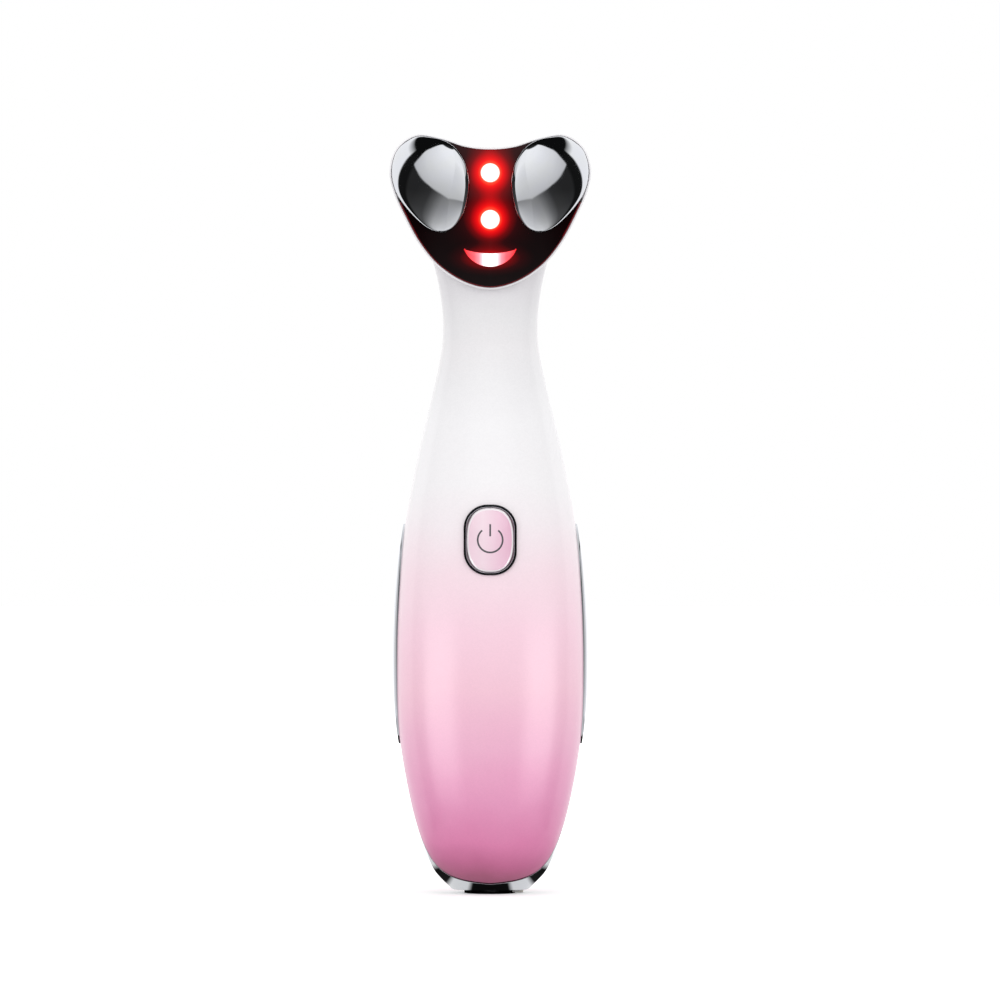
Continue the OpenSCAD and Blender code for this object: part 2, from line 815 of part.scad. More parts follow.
// Bowl behind the face: a ring is at the rim for a right angle, and at the bowl's back for none
bowl_power = 3;
bowl_steps = [5, 15, 25, 35, 45, 55, 65, 75, 85, 90];
function bowl_ring(inset, wall, t) =
    let (share = pow(sin(t), 2 / bowl_power), deep = pow(cos(t), 2 / bowl_power))
    let (mid = head_tip + head_mid)
    [
        for (p = heart_ring(inset, 1, 0))
            let (back = sweep(p[0], p[2]))
                [share * p[0], rim_y + back + (head_d - wall - back) * deep, mid + share * (p[2] - mid)]
    ];

// Outline of the right pad, grown and at a share of its size, on the swept face
pad_steps = 3;
PAD_RING = [
    for (i = [0 : len(PAD) - 1])
        let (n = len(PAD))
            let (q = [for (k = [-1 : 2]) let (p = PAD[(i + k + n) % n]) [p[0] * pad_w / 2, p[1] * pad_l / 2]])
                for (s = [0 : pad_steps - 1])
                    cubic(q[0], q[1], q[2], q[3], s / pad_steps)
];
function pad_ring(grow, share, behind) = [
    for (p = PAD_RING)
        let (q = share * (1 + grow / norm(p)) * p)
            let (x = pad_x + q[0], z = head_tip + pad_up + q[1])
                [x, face_y(x, z, behind), z]
];
module pad_area(grow) {
    for (side = [0, 1])
        mirror([side, 0])
            polygon([for (p = pad_ring(grow, 1, 0)) [p[0], p[2]]]);
}

light_board_t = 1;
frame_screw_r = 0.8;
frame_screw_places = [
    [-9.5, head_tip + 10.8, frame_back],
    [9.5, head_tip + 10.8, frame_back],
    [0, head_tip + 18.95, frame_back + 0.1 + light_board_t]
];
module head_housing() {
    back = rim_y + head_d - head_wall - 0.6;
    color(PEARL_WHITE)
        difference() {
            union() {
                skin(concat(
                    [for (t = bowl_steps) bowl_ring(0, 0, t)],
                    [for (t = reversed(bowl_steps)) bowl_ring(head_wall, head_wall, t)]
                ));
                intersection() {
                    for (p = frame_screw_places)
                        rod_y(p[0], p[1], p[2] + touch, back + 5, 1.9);
                    skin([for (t = bowl_steps) bowl_ring(head_wall / 2, head_wall / 2, t)]);
                }
            }
            neck_plug(part_gap);
            face_block(rim_lip - 0.05, tape_t);
            for (p = frame_screw_places)
                rod_y(p[0], p[1], frame_back - past, p[2] + 5, frame_screw_r + touch);
        }
}
// The neck's outer shape with a gap round it, for the hole in the head
module neck_plug(gap) {
    low = head_tip - 3;
    top = neck_top(90) + gap;
    rows = 6;
    skin([
        for (i = [0 : rows])
            [for (j = [0 : round_n - 1]) skin_point(low + (top - low) * i / rows, column(j), gap)]
    ]);
}

module smile_area(gap) {
    half = smile_w / 2;
    upper = (half * half + smile_dip * smile_dip) / (2 * smile_dip);
    lower = (half * half + smile_drop * smile_drop) / (2 * smile_drop);
    translate([0, head_tip + smile_up])
        difference() {
            translate([0, lower - smile_drop])
                circle(lower + gap);
            translate([0, upper - smile_dip])
                circle(upper - gap, $fn = 96);
        }
}
module face_window() {
    color(FACE_RED)
        difference() {
            skin(concat(face_rows(rim_lip, 0), reversed(face_rows(rim_lip, -window_t))));
            through_y(rim_y - 5, belly_d) {
                pad_area(part_gap);
                for (side = [0, 1])
                    mirror([side, 0])
                        translate([pad_x - 0.225 * pad_w, head_tip + pad_up - 0.138 * pad_l])
                            square([head_w, head_h]);
            }
            for (up = light_heights)
                rod_y(0, head_tip + up, rim_y - 5, window_back + past, light_r);
            through_y(rim_y - 5, window_back + past)
                smile_area(0);
        }
}
module light_lenses() {
    color(LIT_RED)
        for (up = light_heights)
            rod_y(0, head_tip + up, face_y(0, head_tip + up, -window_t), frame_front + 0.6, light_r - touch);
}
module smile_light_guide() {
    z = head_tip + smile_up - smile_drop / 2;
    color(LIT_RED)
        through_y(face_y(0, z, -window_t) + 0.05, frame_front + 0.6)
            smile_area(-touch);
}

module window_tape() {
    near = 0.07;
    far = tape_t - touch;
    color(CHIP_BLACK)
        difference() {
            skin([
                face_ring(tape_in, 1, far), face_ring(tape_out, 1, far),
                face_ring(tape_out, 1, near), face_ring(tape_in, 1, near)
            ], "loop");
            through_y(rim_y - 5, belly_d)
                pad_area(0.3);
        }
}

// Frame behind the face: its front follows the sweep, its back is flat
frame_r = 15.5;
frame_low = 4.8;
FRAME_RING = [
    for (p = heart_ring(head_wall + 0.15, 1, 0))
        let (d = [p[0], p[2] - head_tip - sweep_up])
            let (q = min(1, frame_r / norm(d)) * d)
                [q[0], head_tip + max(q[1] + sweep_up, frame_low)]
];
module face_frame() {
    color(DARK_PLASTIC)
        difference() {
            through_y(rim_y - 2, frame_back)
                polygon(FRAME_RING);
            face_block(rim_lip, tape_t);
            for (up = light_heights)
                rod_y(0, head_tip + up, rim_y - 5, frame_back + past, light_r + 0.3);
            through_y(rim_y - 5, frame_back + past)
                smile_area(0.25);
            for (p = frame_screw_places) {
                rod_y(p[0], p[1], rim_y - 5, frame_back + past, frame_screw_r + part_gap);
                rod_y(p[0], p[1], rim_y - 5, frame_front + 0.9, 1.5);
            }
            for (x = [-stud_x, stud_x]) {
                rod_y(x, head_tip + stud_up, rim_y - 5, stud_end + 0.05, pad_stud_r + part_gap);
                rod_y(x, head_tip + stud_up, rim_y - 5, frame_back + past, frame_screw_r + part_gap);
            }
        }
}
module face_frame_screws() {
    color(STEEL)
        for (p = frame_screw_places) {
            rod_y(p[0], p[1], frame_front + touch, frame_front + 0.88, 1.4);
            rod_y(p[0], p[1], frame_front + 0.8, p[2] + 4.5, frame_screw_r);
        }
}

// Pad: a hollow dome with a stud that sits in the frame and takes a screw
pad_stud_r = 2.3;
stud_x = 10;
stud_up = 20.5;
stud_end = frame_front + 0.45;
pad_angles = [6, 20, 35, 50, 65, 80, 90];
pad_edge = -window_t - pad_rise;
thread_end = face_y(stud_x, head_tip + stud_up, pad_edge) + 0.2;
module electrode() {
    difference() {
        union() {
            skin(concat(
                [for (t = pad_angles) pad_ring(-pad_wall, sin(t), pad_edge + pad_wall - pad_dome * cos(t))],
                [pad_ring(-pad_wall, 1, 0.05), pad_ring(0, 1, 0.05)],
                [for (t = reversed(pad_angles)) pad_ring(0, sin(t), pad_edge - pad_dome * cos(t))]
            ));
            rod_y(stud_x, head_tip + stud_up, thread_end - 1, stud_end, pad_stud_r);
        }
        rod_y(stud_x, head_tip + stud_up, thread_end, stud_end + past, frame_screw_r + touch);
    }
}
module right_electrode() {
    color(CHROME)
        electrode();
}
module left_electrode() {
    color(CHROME)
        mirror([1, 0, 0])
            electrode();
}
electrode_head_t = 1;
module electrode_screws() {
    color(STEEL)
        for (x = [-stud_x, stud_x]) {
            rod_y(x, head_tip + stud_up, thread_end + 0.2, frame_back + electrode_head_t / 2, frame_screw_r);
            rod_y(x, head_tip + stud_up, frame_back + touch, frame_back + electrode_head_t, 1.6);
        }
}
light_board_front = frame_back + 0.05;
light_board_back = light_board_front + light_board_t;
contact_t = 0.25;
contact_w = 2;
module electrode_contacts() {
    y = light_board_back + part_gap + contact_t / 2;
    path = [
        [3.2, y], [4.7, y], [stud_x - 3.3, y + 0.9], [stud_x - 1.6, y - 0.05], [stud_x + 1.6, y - 0.05]
    ];
    color(COPPER)
        for (side = [0, 1])
            mirror([side, 0, 0])
                translate([0, 0, head_tip + stud_up - contact_w / 2])
                    linear_extrude(contact_w)
                        polygon(strip_outline(smoothed(path, 3), contact_t));
}

light_board_w = 10.4;
notch_z = head_tip + head_h * HEART[len(HEART) - 1][1];
module light_board() {
    screw = frame_screw_places[2];
    color(BOARD_GREEN)
        difference() {
            block(
                [-light_board_w / 2, light_board_front, head_tip + 4.6],
                [light_board_w / 2, light_board_back, notch_z - head_wall - 1.2]
            );
            rod_y(screw[0], screw[1], frame_back - past, light_board_back + past, frame_screw_r + part_gap);
        }
}
module face_leds() {
    color(LIT_RED) {
        for (up = light_heights) {
            rod_y(0, head_tip + up, light_board_front - 0.4, light_board_front, 1.6);
            rod_y(0, head_tip + up, light_board_front - 0.65, light_board_front - 0.3, 1.2);
        }
        block(
            [-1.6, light_board_front - 0.6, head_tip + smile_up - smile_drop + 0.6],
            [1.6, light_board_front, head_tip + smile_up - smile_drop + 2.2]
        );
    }
}

// Flat cable up the front of the neck, in y and z
flex_t = 0.2;
flex_gap = 0.35;
module head_flex_cable() {
    up = head_tip + 1 - motor_low;
    start_y = board_front - part_gap - flex_t / 2;
    top_y = light_board_back + part_gap + flex_t / 2;
    wall_y = front_y(flex_w / 2, motor_low - 1, -shell_wall) + flex_gap + flex_t / 2;
    ease = max(0.1, (start_y - wall_y - 0.95) / 10);
    path = concat(
        [[start_y, board_high - 5], [start_y, board_high - 2.5], [start_y - ease, board_high - 0.5]],
        [
            for (i = [0 : 5])
                let (z = motor_low - 1 + i * up / 5)
                    [front_y(flex_w / 2, z, -shell_wall) + flex_gap + flex_t / 2, z]
        ],
        [[top_y, head_tip + 5.8], [top_y, head_tip + 9]]
    );
    color(COPPER)
        translate([-flex_w / 2, 0, 0])
            rotate([90, 0, 90])
                linear_extrude(flex_w)
                    polygon(strip_outline(smoothed(path, 3), flex_t));
}

// Main board and what is soldered on it
board_neck = 9;
board_gap = 0.3;
connector_h = chassis_t + 1.6;
wire_y = board_back + chassis_t + 0.8;
// Lower end of the board, moved up where the shell would be too narrow for it
board_foot = board_low + max([
    for (up = [0 : 0.25 : 4])
        side_x(board_front, board_low + up, -shell_wall) < board_w / 2 + board_gap ? up + 0.25 : 0
]);
module main_board() {
    half = board_w / 2;
    color(BOARD_GREEN)
        difference() {
            through_y(board_front, board_back)
                polygon([
                    [-half, board_foot], [half, board_foot], [half, board_high - board_neck],
                    [half - 3, board_high], [3 - half, board_high], [-half, board_high - board_neck]
                ]);
            for (x = [-screw_x, screw_x])
                for (z = screw_heights)
                    rod_y(x, z, board_front - past, board_back + past, screw_r + part_gap);
        }
}
// Parts on the front of the board: x and z of the middle, width, height, depth
FRONT_PARTS = [
    [0, 34, 7, 7, 1],
    [-5, 46, 5, 5, 1.6],
    [4.5, 46, 4, 5, 1],
    [0, 56, 9, 8, 4.5],
    [7, 64, 3.2, 1.8, 0.8],
    [-7, 64, 3.2, 1.8, 0.8],
    [0, 23, 6, 4, 2.2]
];
module board_parts() {
    color(CHIP_BLACK) {
        for (p = FRONT_PARTS)
            block(
                [p[0] - p[2] / 2, board_front - p[4], p[1] - p[3] / 2],
                [p[0] + p[2] / 2, board_front, p[1] + p[3] / 2]
            );
        for (x = [-3.2, 3.2])
            block(
                [x - 2.2, board_back, board_high - 4.5],
                [x + 2.2, board_back + connector_h, board_high - 1]
            );
    }
}

chassis_low = board_low + 5;
chassis_high = board_high - 6;
chassis_back = board_back + touch + chassis_t;
battery_y = chassis_back + 0.4 + battery_r;
module inner_chassis() {
    half = board_w / 2 - 0.5;
    color(DARK_PLASTIC)
        difference() {
            union() {
                block([-half, board_back + touch, chassis_low], [half, chassis_back, chassis_high]);
                for (z = [battery_low + 3, battery_low + battery_l - 6])
                    block([-battery_r, chassis_back - 0.2, z], [battery_r, battery_y - 2.5, z + 3]);
            }
            translate([0, battery_y, battery_low])
                cylinder(h = battery_l, r = battery_r + touch);
            for (x = [-screw_x, screw_x])
                for (z = screw_heights)
                    rod_y(x, z, board_back - past, chassis_back + past, screw_r + part_gap);
        }
}
module chassis_screws() {
    color(STEEL)
        for (x = [-screw_x, screw_x])
            for (z = screw_heights) {
                rod_y(x, z, board_front - thread_depth + 0.6, chassis_back + 0.5, screw_r);
                rod_y(x, z, chassis_back + touch, chassis_back + 1.1, 1.8);
            }
}

module battery_cell() {
    color("#3f7fb5")
        translate([0, battery_y, battery_low]) {
            cylinder(h = battery_l, r = battery_r);
            cylinder(h = battery_l + 0.8, r = 2.4);
        }
}
module battery_foam() {
    z = battery_low + battery_l / 2;
    color(CHIP_BLACK)
        difference() {
            block([-4, battery_y, z - 10], [4, foam_back(z), z + 10]);
            translate([0, battery_y, z - 10 - past])
                cylinder(h = 20 + 2 * past, r = battery_r + touch);
        }
}
// Back face of the foam, just inside the rear shell over the foam's width and height
function foam_back(z) =
    min([for (h = [z - 10, z + 10]) 2 * lean_y(h) - front_y(4, h, -shell_wall)]) - part_gap;

wire_r = 0.45;
module battery_leads() {
    top = battery_low + battery_l + 0.8 + wire_r;
    for (side = [-1, 1])
        color(side > 0 ? "#c8312b" : "#26282b")
            wire([
                [side * 1.2, battery_y, top], [side * 1.2, battery_y - 2, top + 0.8],
                [side * 1.8, wire_y + 1.6, top + 4], [side * 2.6, wire_y + 0.1, board_high - 7],
                [side * 2.6, wire_y, board_high - 5.6], [side * 2.6, wire_y, board_high - 4.5 - part_gap]
            ], wire_r);
}
module motor_leads() {
    for (side = [-1, 1])
        color(side > 0 ? "#c8312b" : "#2f5fb0")
            wire([
                [side * 1.2, motor_y, motor_low - part_gap], [side * 1.2, motor_y, motor_low - 1],
                [side * 1.3, motor_y, motor_low - 1.8], [side * 2.8, wire_y + 0.3, board_high + 1.6],
                [side * 3.2, wire_y, board_high + 0.3], [side * 3.2, wire_y, board_high - 1 + part_gap]
            ], wire_r);
}
module charge_leads() {
    low = jack_top + board_t + 2 * touch;
    for (side = [-1, 1])
        color(side > 0 ? "#c8312b" : "#26282b")
            wire([
                [side * 3, board_back + 1.8, low], [side * 3, board_back + 1.7, low + 1.4],
                [side * 3, board_back + wire_r + 0.3, low + 3.4],
                [side * 3, board_back + wire_r + touch, low + 5]
            ], wire_r);
}
lead_r = 0.22;
module charge_led_leads() {
    q = LIGHT_AT - (led_depth + 0.35) * LIGHT_WAY;
    for (side = [-0.45, 0.45])
        let (o = [side * cos(charge_light_angle + 90), side * sin(charge_light_angle + 90), 0])
            color(STEEL)
                wire([q + o, q + o + [0, 0, 1.5], q + o + [0, 0, 5], [q[0], q[1], jack_top] + o], lead_r);
}

// Leaf springs from the board's edge to a lug of each side strip, in x and y
spring_t = 0.3;
spring_w = 2;
module strip_contacts() {
    z = lug_heights[1];
    y = board_front - touch - spring_t / 2;
    x = lug_end(z) - part_gap - spring_t / 2;
    path = [
        [board_w / 2 - 3, y], [board_w / 2 + 0.6, y], [x - 1.2, y + 2],
        [x, lean_y(z) - 1.4], [x, lean_y(z) + 1.3]
    ];
    color(COPPER)
        for (side = [0, 1])
            mirror([side, 0, 0])
                translate([0, 0, z - spring_w / 2])
                    linear_extrude(spring_w)
                        polygon(strip_outline(smoothed(path, 3), spring_t));
}

// Vibration motor
shaft_r = 0.5;
shaft_out = weight_l + 1.3;
module motor_can() {
    color(STEEL)
        translate([0, motor_y, motor_low])
            difference() {
                union() {
                    cylinder(h = motor_l, r = motor_r);
                    cylinder(h = motor_l + 0.5, r = 1.2);
                }
                translate([0, 0, motor_l - 5])
                    cylinder(h = 6, r = shaft_r + 0.05);
            }
}
module motor_shaft() {
    color(STEEL)
        translate([0, motor_y, motor_low + motor_l - 4])
            cylinder(h = 4 + shaft_out, r = shaft_r);
}
module eccentric_weight() {
    color(COPPER)
        translate([0, motor_y, motor_low + motor_l + 0.9])
            difference() {
                union() {
                    intersection() {
                        cylinder(h = weight_l, r = weight_r);
                        block([-weight_r, 0, 0], [weight_r, weight_r, weight_l]);
                    }
                    cylinder(h = weight_l, r = 1.1);
                }
                translate([0, 0, -past])
                    cylinder(h = weight_l + 2 * past, r = shaft_r);
            }
}
module motor_sleeve() {
    color(CHIP_BLACK)
        translate([0, motor_y, motor_low + 1])
            difference() {
                cylinder(h = motor_l - 2, r = sleeve_r);
                translate([0, 0, -past])
                    cylinder(h = motor_l + past, r = motor_r);
            }
}

front_shell();
rear_shell();
left_side_strip();
right_side_strip();
tail_cap();
port_ring();
port_cover();
port_cover_root();
charge_light_lens();
button_bezel();
power_button();
switch_body();
switch_plunger();
head_housing();
face_window();
light_lenses();
smile_light_guide();
left_electrode();
right_electrode();
face_frame();
window_tape();
face_frame_screws();
electrode_screws();
electrode_contacts();
light_board();
face_leds();
head_flex_cable();
main_board();
board_parts();
inner_chassis();
chassis_screws();
battery_cell();
battery_foam();
battery_leads();
strip_contacts();
motor_can();
motor_shaft();
eccentric_weight();
motor_sleeve();
motor_leads();
dc_jack();
jack_pin();
charge_board();
charge_leads();
charge_led();
charge_led_leads();
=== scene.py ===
# %% [markdown]
# # A heart-headed facial toning wand
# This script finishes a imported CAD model. The wand stands on the ring round its charging port: an oval
# belly, a slim neck, and a heart-shaped head with two chrome pads on a dark red glowing face. The CAD gives
# each piece its place and its size. Here each visible piece gets a finer skin by the same formulas, and a
# finish. Lengths are written in millimetres, as on a drawing, and turned to metres when a mesh is made.

# %% Load the frame
import math

import bmesh
import bpy
import numpy as np
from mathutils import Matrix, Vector


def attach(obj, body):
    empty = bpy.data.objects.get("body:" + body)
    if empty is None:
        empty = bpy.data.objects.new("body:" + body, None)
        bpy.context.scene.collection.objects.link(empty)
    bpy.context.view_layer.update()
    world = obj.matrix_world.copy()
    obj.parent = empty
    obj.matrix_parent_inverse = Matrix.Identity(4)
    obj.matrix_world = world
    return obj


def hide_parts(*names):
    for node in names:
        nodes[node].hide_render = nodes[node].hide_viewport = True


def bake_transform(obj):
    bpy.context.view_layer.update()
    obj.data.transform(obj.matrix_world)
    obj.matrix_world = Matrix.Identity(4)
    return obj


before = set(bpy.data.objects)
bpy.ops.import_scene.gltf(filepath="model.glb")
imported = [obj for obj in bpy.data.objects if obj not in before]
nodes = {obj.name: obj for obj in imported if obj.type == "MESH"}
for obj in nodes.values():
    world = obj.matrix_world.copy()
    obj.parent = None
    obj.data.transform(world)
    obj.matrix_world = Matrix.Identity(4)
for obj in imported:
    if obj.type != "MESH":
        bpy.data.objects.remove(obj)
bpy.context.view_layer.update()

MM = 0.001

# %% [markdown]
# ## Meshes from rings
# Most pieces here are skins through a row of closed rings, as a boat's planks lie over its frames. It could
# be done with curves and a loft add-on, but plain rings keep every point on the formula that the CAD uses.
# The ends are closed by a fan to the middle, by a strip between the two sides of a thin ring, or not at all
# where the last ring meets the first.


# %% Build a solid from rings
def into_scene(name, data):
    """An object that holds the data, put into the scene."""
    thing = bpy.data.objects.new(name, data)
    bpy.context.scene.collection.objects.link(thing)
    return thing


def finish_mesh(name, points, faces, sharp):
    """A smooth-shaded object from points in millimetres; edges over the sharp angle stay crisp."""
    mesh = bpy.data.meshes.new(name)
    mesh.from_pydata([tuple(c * MM for c in p) for p in points], [], faces)
    bm = bmesh.new()
    bm.from_mesh(mesh)
    bmesh.ops.recalc_face_normals(bm, faces=bm.faces)
    bm.to_mesh(mesh)
    bm.free()
    mesh.shade_smooth()
    mesh.set_sharp_from_angle(angle=math.radians(sharp))
    return into_scene(name, mesh)


def skin(name, rings, ends="fan", sharp=35):
    """A closed solid through rings of equal length. Ends are a fan, a strip, or a loop back to the first."""
    n, m = len(rings[0]), len(rings)
    points = [p for ring in rings for p in ring]
    faces = []
    for i in range(m if ends == "loop" else m - 1):
        a, b = i * n, (i + 1) % m * n
        faces += [(a + j, b + j, b + (j + 1) % n, a + (j + 1) % n) for j in range(n)]
    for base, ring in ((0, rings[0]), ((m - 1) * n, rings[-1])):
        if ends == "fan":
            middle = len(points)
            points.append(tuple(sum(p[k] for p in ring) / n for k in range(3)))
            faces += [(middle, base + j, base + (j + 1) % n) for j in range(n)]
        elif ends == "strip":
            faces += [(base + j, base + j + 1, base + n - 2 - j, base + n - 1 - j) for j in range(n // 2 - 1)]
    return finish_mesh(name, points, faces, sharp)


# %% [markdown]
# ## Holes
# A hole is cut by a Boolean, as a drill would cut it. Where the cut runs close to an edge it leaves folded
# pairs of slivers, which are dropped at once, because an exported mesh would show them as loose faces. It
# also leaves long thin faces, and smooth shading goes blotchy over them. The cure is to give each corner on
# the smooth surface the true normal of the formula, so that the gloss flows past the hole as if the surface
# had never been cut.


# %% Cut one mesh with another
WELD, NORMAL_GRIP, SAME_WAY = 0.00002 * MM, 0.02, 0.85


def drop_flaps(piece):
    """Removes the folded pairs of triangles that a Boolean leaves where its cut runs close to an edge."""
    bm = bmesh.new()
    bm.from_mesh(piece.data)
    bmesh.ops.remove_doubles(bm, verts=bm.verts, dist=WELD)
    bmesh.ops.triangulate(bm, faces=[face for face in bm.faces if len(face.verts) > 4])
    bm.verts.index_update()
    seen = {}
    for face in bm.faces:
        seen.setdefault(frozenset(v.index for v in face.verts), []).append(face)
    doubled = [face for same in seen.values() if len(same) > 1 for face in same]
    bmesh.ops.delete(bm, geom=doubled, context="FACES")
    bm.to_mesh(piece.data)
    bm.free()


def combine(piece, tool, operation="DIFFERENCE"):
    """A Boolean of piece with tool, which is used up. The result becomes the piece's own mesh."""
    step = piece.modifiers.new("combine", "BOOLEAN")
    step.operation, step.solver, step.object = operation, "EXACT", tool
    bpy.context.view_layer.update()
    graph = bpy.context.evaluated_depsgraph_get()
    mesh = bpy.data.meshes.new_from_object(piece.evaluated_get(graph))
    piece.modifiers.clear()
    piece.data = mesh
    drop_flaps(piece)
    bpy.data.objects.remove(tool)
    return piece


def true_normals(piece, field, sharp=35):
    """Corner normals from field, which is zero on the smooth surface and takes points in millimetres."""
    mesh = piece.data
    mesh.set_sharp_from_angle(angle=math.radians(sharp))
    points = np.array([v.co for v in mesh.vertices]) / MM
    step = 0.01
    slope = np.stack([(field(points + step * axis) - field(points - step * axis)) / (2 * step)
                      for axis in np.eye(3)], axis=1)
    length = np.linalg.norm(slope, axis=1)
    length[length == 0] = 1
    normal = slope / length[:, None]
    close = np.abs(field(points)) / length < NORMAL_GRIP
    normals = [Vector(c.vector) for c in mesh.corner_normals]
    for face in mesh.polygons:
        for loop in face.loop_indices:
            at = mesh.loops[loop].vertex_index
            if close[at] and face.normal.dot(Vector(normal[at])) > SAME_WAY:
                normals[loop] = Vector(normal[at])
    mesh.normals_split_custom_set(normals)
    return piece


# %% [markdown]
# ## The handle's outline
# The handle's section is an oval a little squarer than an ellipse. Its width, depth, forward lean and
# squareness change along its height through a smooth cubic, so one function gives any point on its skin.

# %% Handle skin formulas
HANDLE_H, BELLY_W, BELLY_D, SHELL_WALL = 131, 38.6, 32.6, 1.8
OUTLINE = np.array([
    [0.007, 0.415, 0.436, 0.0, 2.0], [0.036, 0.598, 0.613, 0.0, 2.05], [0.077, 0.720, 0.736, 0.0, 2.1],
    [0.153, 0.860, 0.871, 0.0, 2.2], [0.252, 0.969, 0.969, 0.0, 2.3], [0.351, 1.000, 1.000, 0.0, 2.3],
    [0.458, 0.982, 0.982, 0.0, 2.3], [0.573, 0.907, 0.896, 0.0, 2.3], [0.687, 0.764, 0.742, 0.3, 2.25],
    [0.794, 0.591, 0.571, 0.9, 2.2], [0.855, 0.510, 0.488, 1.3, 2.15], [0.901, 0.504, 0.466, 1.6, 2.15],
    [0.951, 0.549, 0.451, 1.75, 2.1], [1.000, 0.632, 0.380, 2.8, 2.1]])


def outline(z, k):
    """Column k of the outline table at height z, by a cubic through its rows."""
    f = np.asarray(z, float) / HANDLE_H
    x, y = OUTLINE[:, 0], OUTLINE[:, k]
    slopes = np.empty(len(x))
    slopes[1:-1] = (y[2:] - y[:-2]) / (x[2:] - x[:-2])
    slopes[0], slopes[-1] = (y[1] - y[0]) / (x[1] - x[0]), (y[-1] - y[-2]) / (x[-1] - x[-2])
    i = np.clip(np.searchsorted(x, f, side="right") - 1, 0, len(x) - 2)
    h = x[i + 1] - x[i]
    u = (f - x[i]) / h
    m, n, rise = slopes[i] * h, slopes[i + 1] * h, y[i + 1] - y[i]
    return y[i] + u * (m + u * (3 * rise - 2 * m - n + u * (m + n - 2 * rise)))


def half_w(z): return outline(z, 1) * BELLY_W / 2
def half_d(z): return outline(z, 2) * BELLY_D / 2
def lean_y(z): return -outline(z, 3)
def square_e(z): return outline(z, 4)


def power(s, e): return math.copysign(abs(s) ** (2 / e), s)


def skin_point(z, angle, grow=0.0):
    """Point on the handle at a height; angle 0 is the right side and 90 the back."""
    e, turned = square_e(z), math.radians(angle)
    return (float((half_w(z) + grow) * power(math.cos(turned), e)),
            float(lean_y(z) + (half_d(z) + grow) * power(math.sin(turned), e)), float(z))


def front_y(x, z):
    e = square_e(z)
    return lean_y(z) - half_d(z) * (1 - (abs(x) / half_w(z)) ** e) ** (1 / e)


def side_x(y, z):
    e = square_e(z)
    return half_w(z) * (1 - (abs(y - lean_y(z)) / half_d(z)) ** e) ** (1 / e)


def handle_field(p):
    """Zero on the handle's skin, negative inside it."""
    x, y, z = p[:, 0], p[:, 1], p[:, 2]
    e = square_e(z)
    across, deep = np.abs(x) / half_w(z), np.abs(y - lean_y(z)) / half_d(z)
    return (across ** e + deep ** e) ** (1 / e) - 1


print("Widths of the belly and the neck in mm:", [round(2 * float(half_w(z)), 1) for z in (46, 115)])

# %% [markdown]
# ## Painted handle shells
# The real handle is two moulded ABS halves that meet along the sides. The lower edge follows the chrome
# cap: low at front and back, high at each side. The edges are a little rounded, which is what makes the
# seam read as a fine line. The rings run round each half, outside and back inside, so that the wall has a
# real thickness.

# %% Shell edges and rows
SADDLE_LOW, SADDLE_HIGH, TONGUE_ANGLE, TAIL_GAP = 2.15, 14.85, 17.6, 0.2
NECK_RISE, NECK_NOTCH = 0.3, 6.1
SHELL_ROWS, HALF_COLUMNS = 170, 72


def bell(a): return 1 / (1 + (a / TONGUE_ANGLE) ** 1.9)


def saddle_z(angle):
    off = abs(math.degrees(math.asin(math.sin(math.radians(angle)))))
    return SADDLE_LOW + (SADDLE_HIGH - SADDLE_LOW) * (bell(off) - bell(90)) / (1 - bell(90))


def neck_top(angle):
    return HANDLE_H + NECK_RISE - NECK_NOTCH * max(-math.sin(math.radians(angle)), 0) ** 1.2


def column(t):
    """Angle at share t of a turn, closer together at the handle's sides."""
    half, t = divmod(2 * t, 1)
    return 180 * half + 180 * t * 0.6 + 36 * (1 - math.cos(math.pi * t))


def rounding(distance, r):
    """How far an edge of radius r has sunk at a distance from its rim."""
    return r - math.sqrt(max(r * r - (r - min(distance, r)) ** 2, 0))


# %% Make the two shells
EDGE_R = 0.16
EDGE_ROWS = (0, 0.04, 0.09, EDGE_R)
ROW_CROWDING = 1.15


def shell_ring(i, start):
    """Ring i of a half shell, outside and back inside; start is 0 for the rear half and 1 for the front."""
    angles = [column((start + j / HALF_COLUMNS) / 2) for j in range(HALF_COLUMNS + 1)]
    edge_rows, outer, inner = len(EDGE_ROWS), [], []
    for a in angles:
        low, top = saddle_z(a) + TAIL_GAP, neck_top(a)
        if i < edge_rows:
            z = low + EDGE_ROWS[i]
        else:
            share = (i - edge_rows + 1) / (SHELL_ROWS - edge_rows + 1)
            z = low + EDGE_R + (top - low - EDGE_R) * share ** ROW_CROWDING
        outer.append(skin_point(z, a, -rounding(z - low, EDGE_R)))
        inner.append(skin_point(z, a, -SHELL_WALL))
    # The seam's rim: the first and last points step in by most of the edge radius
    for j, k in ((0, 1), (-1, -2)):
        p, q = np.array(outer[j]), np.array(outer[k])
        length = np.linalg.norm(q - p)
        outer[j] = skin_point(p[2], angles[j], -EDGE_R * 0.8)
        outer[k] = tuple(p + (q - p) / length * min(EDGE_R, 0.9 * length))
    return outer + inner[::-1]


def half_shell(name, start):
    return skin(name, [shell_ring(i, start) for i in range(SHELL_ROWS + 1)], "strip", sharp=50)


rear = half_shell("rear_shell_paint", 0)
front = half_shell("front_shell_paint", 1)
print("Shell faces:", len(front.data.polygons), len(rear.data.polygons))

# %% [markdown]
# ## Button opening, ring and button
# A rounded opening in the front shell holds a dark chrome ring, and the button's convex cap sits inside it.
# The ring is swept from a small rounded profile; a plain bevelled torus would not follow the long sides.

# %% Cut the opening
BUTTON_Z, BUTTON_W, BUTTON_H, BUTTON_CORNER = 72.3, 10.75, 14.3, 4.8
BUTTON_Y = float(front_y(0, BUTTON_Z))
SLOPE = float((front_y(0, BUTTON_Z + 2) - front_y(0, BUTTON_Z - 2)) / 4)


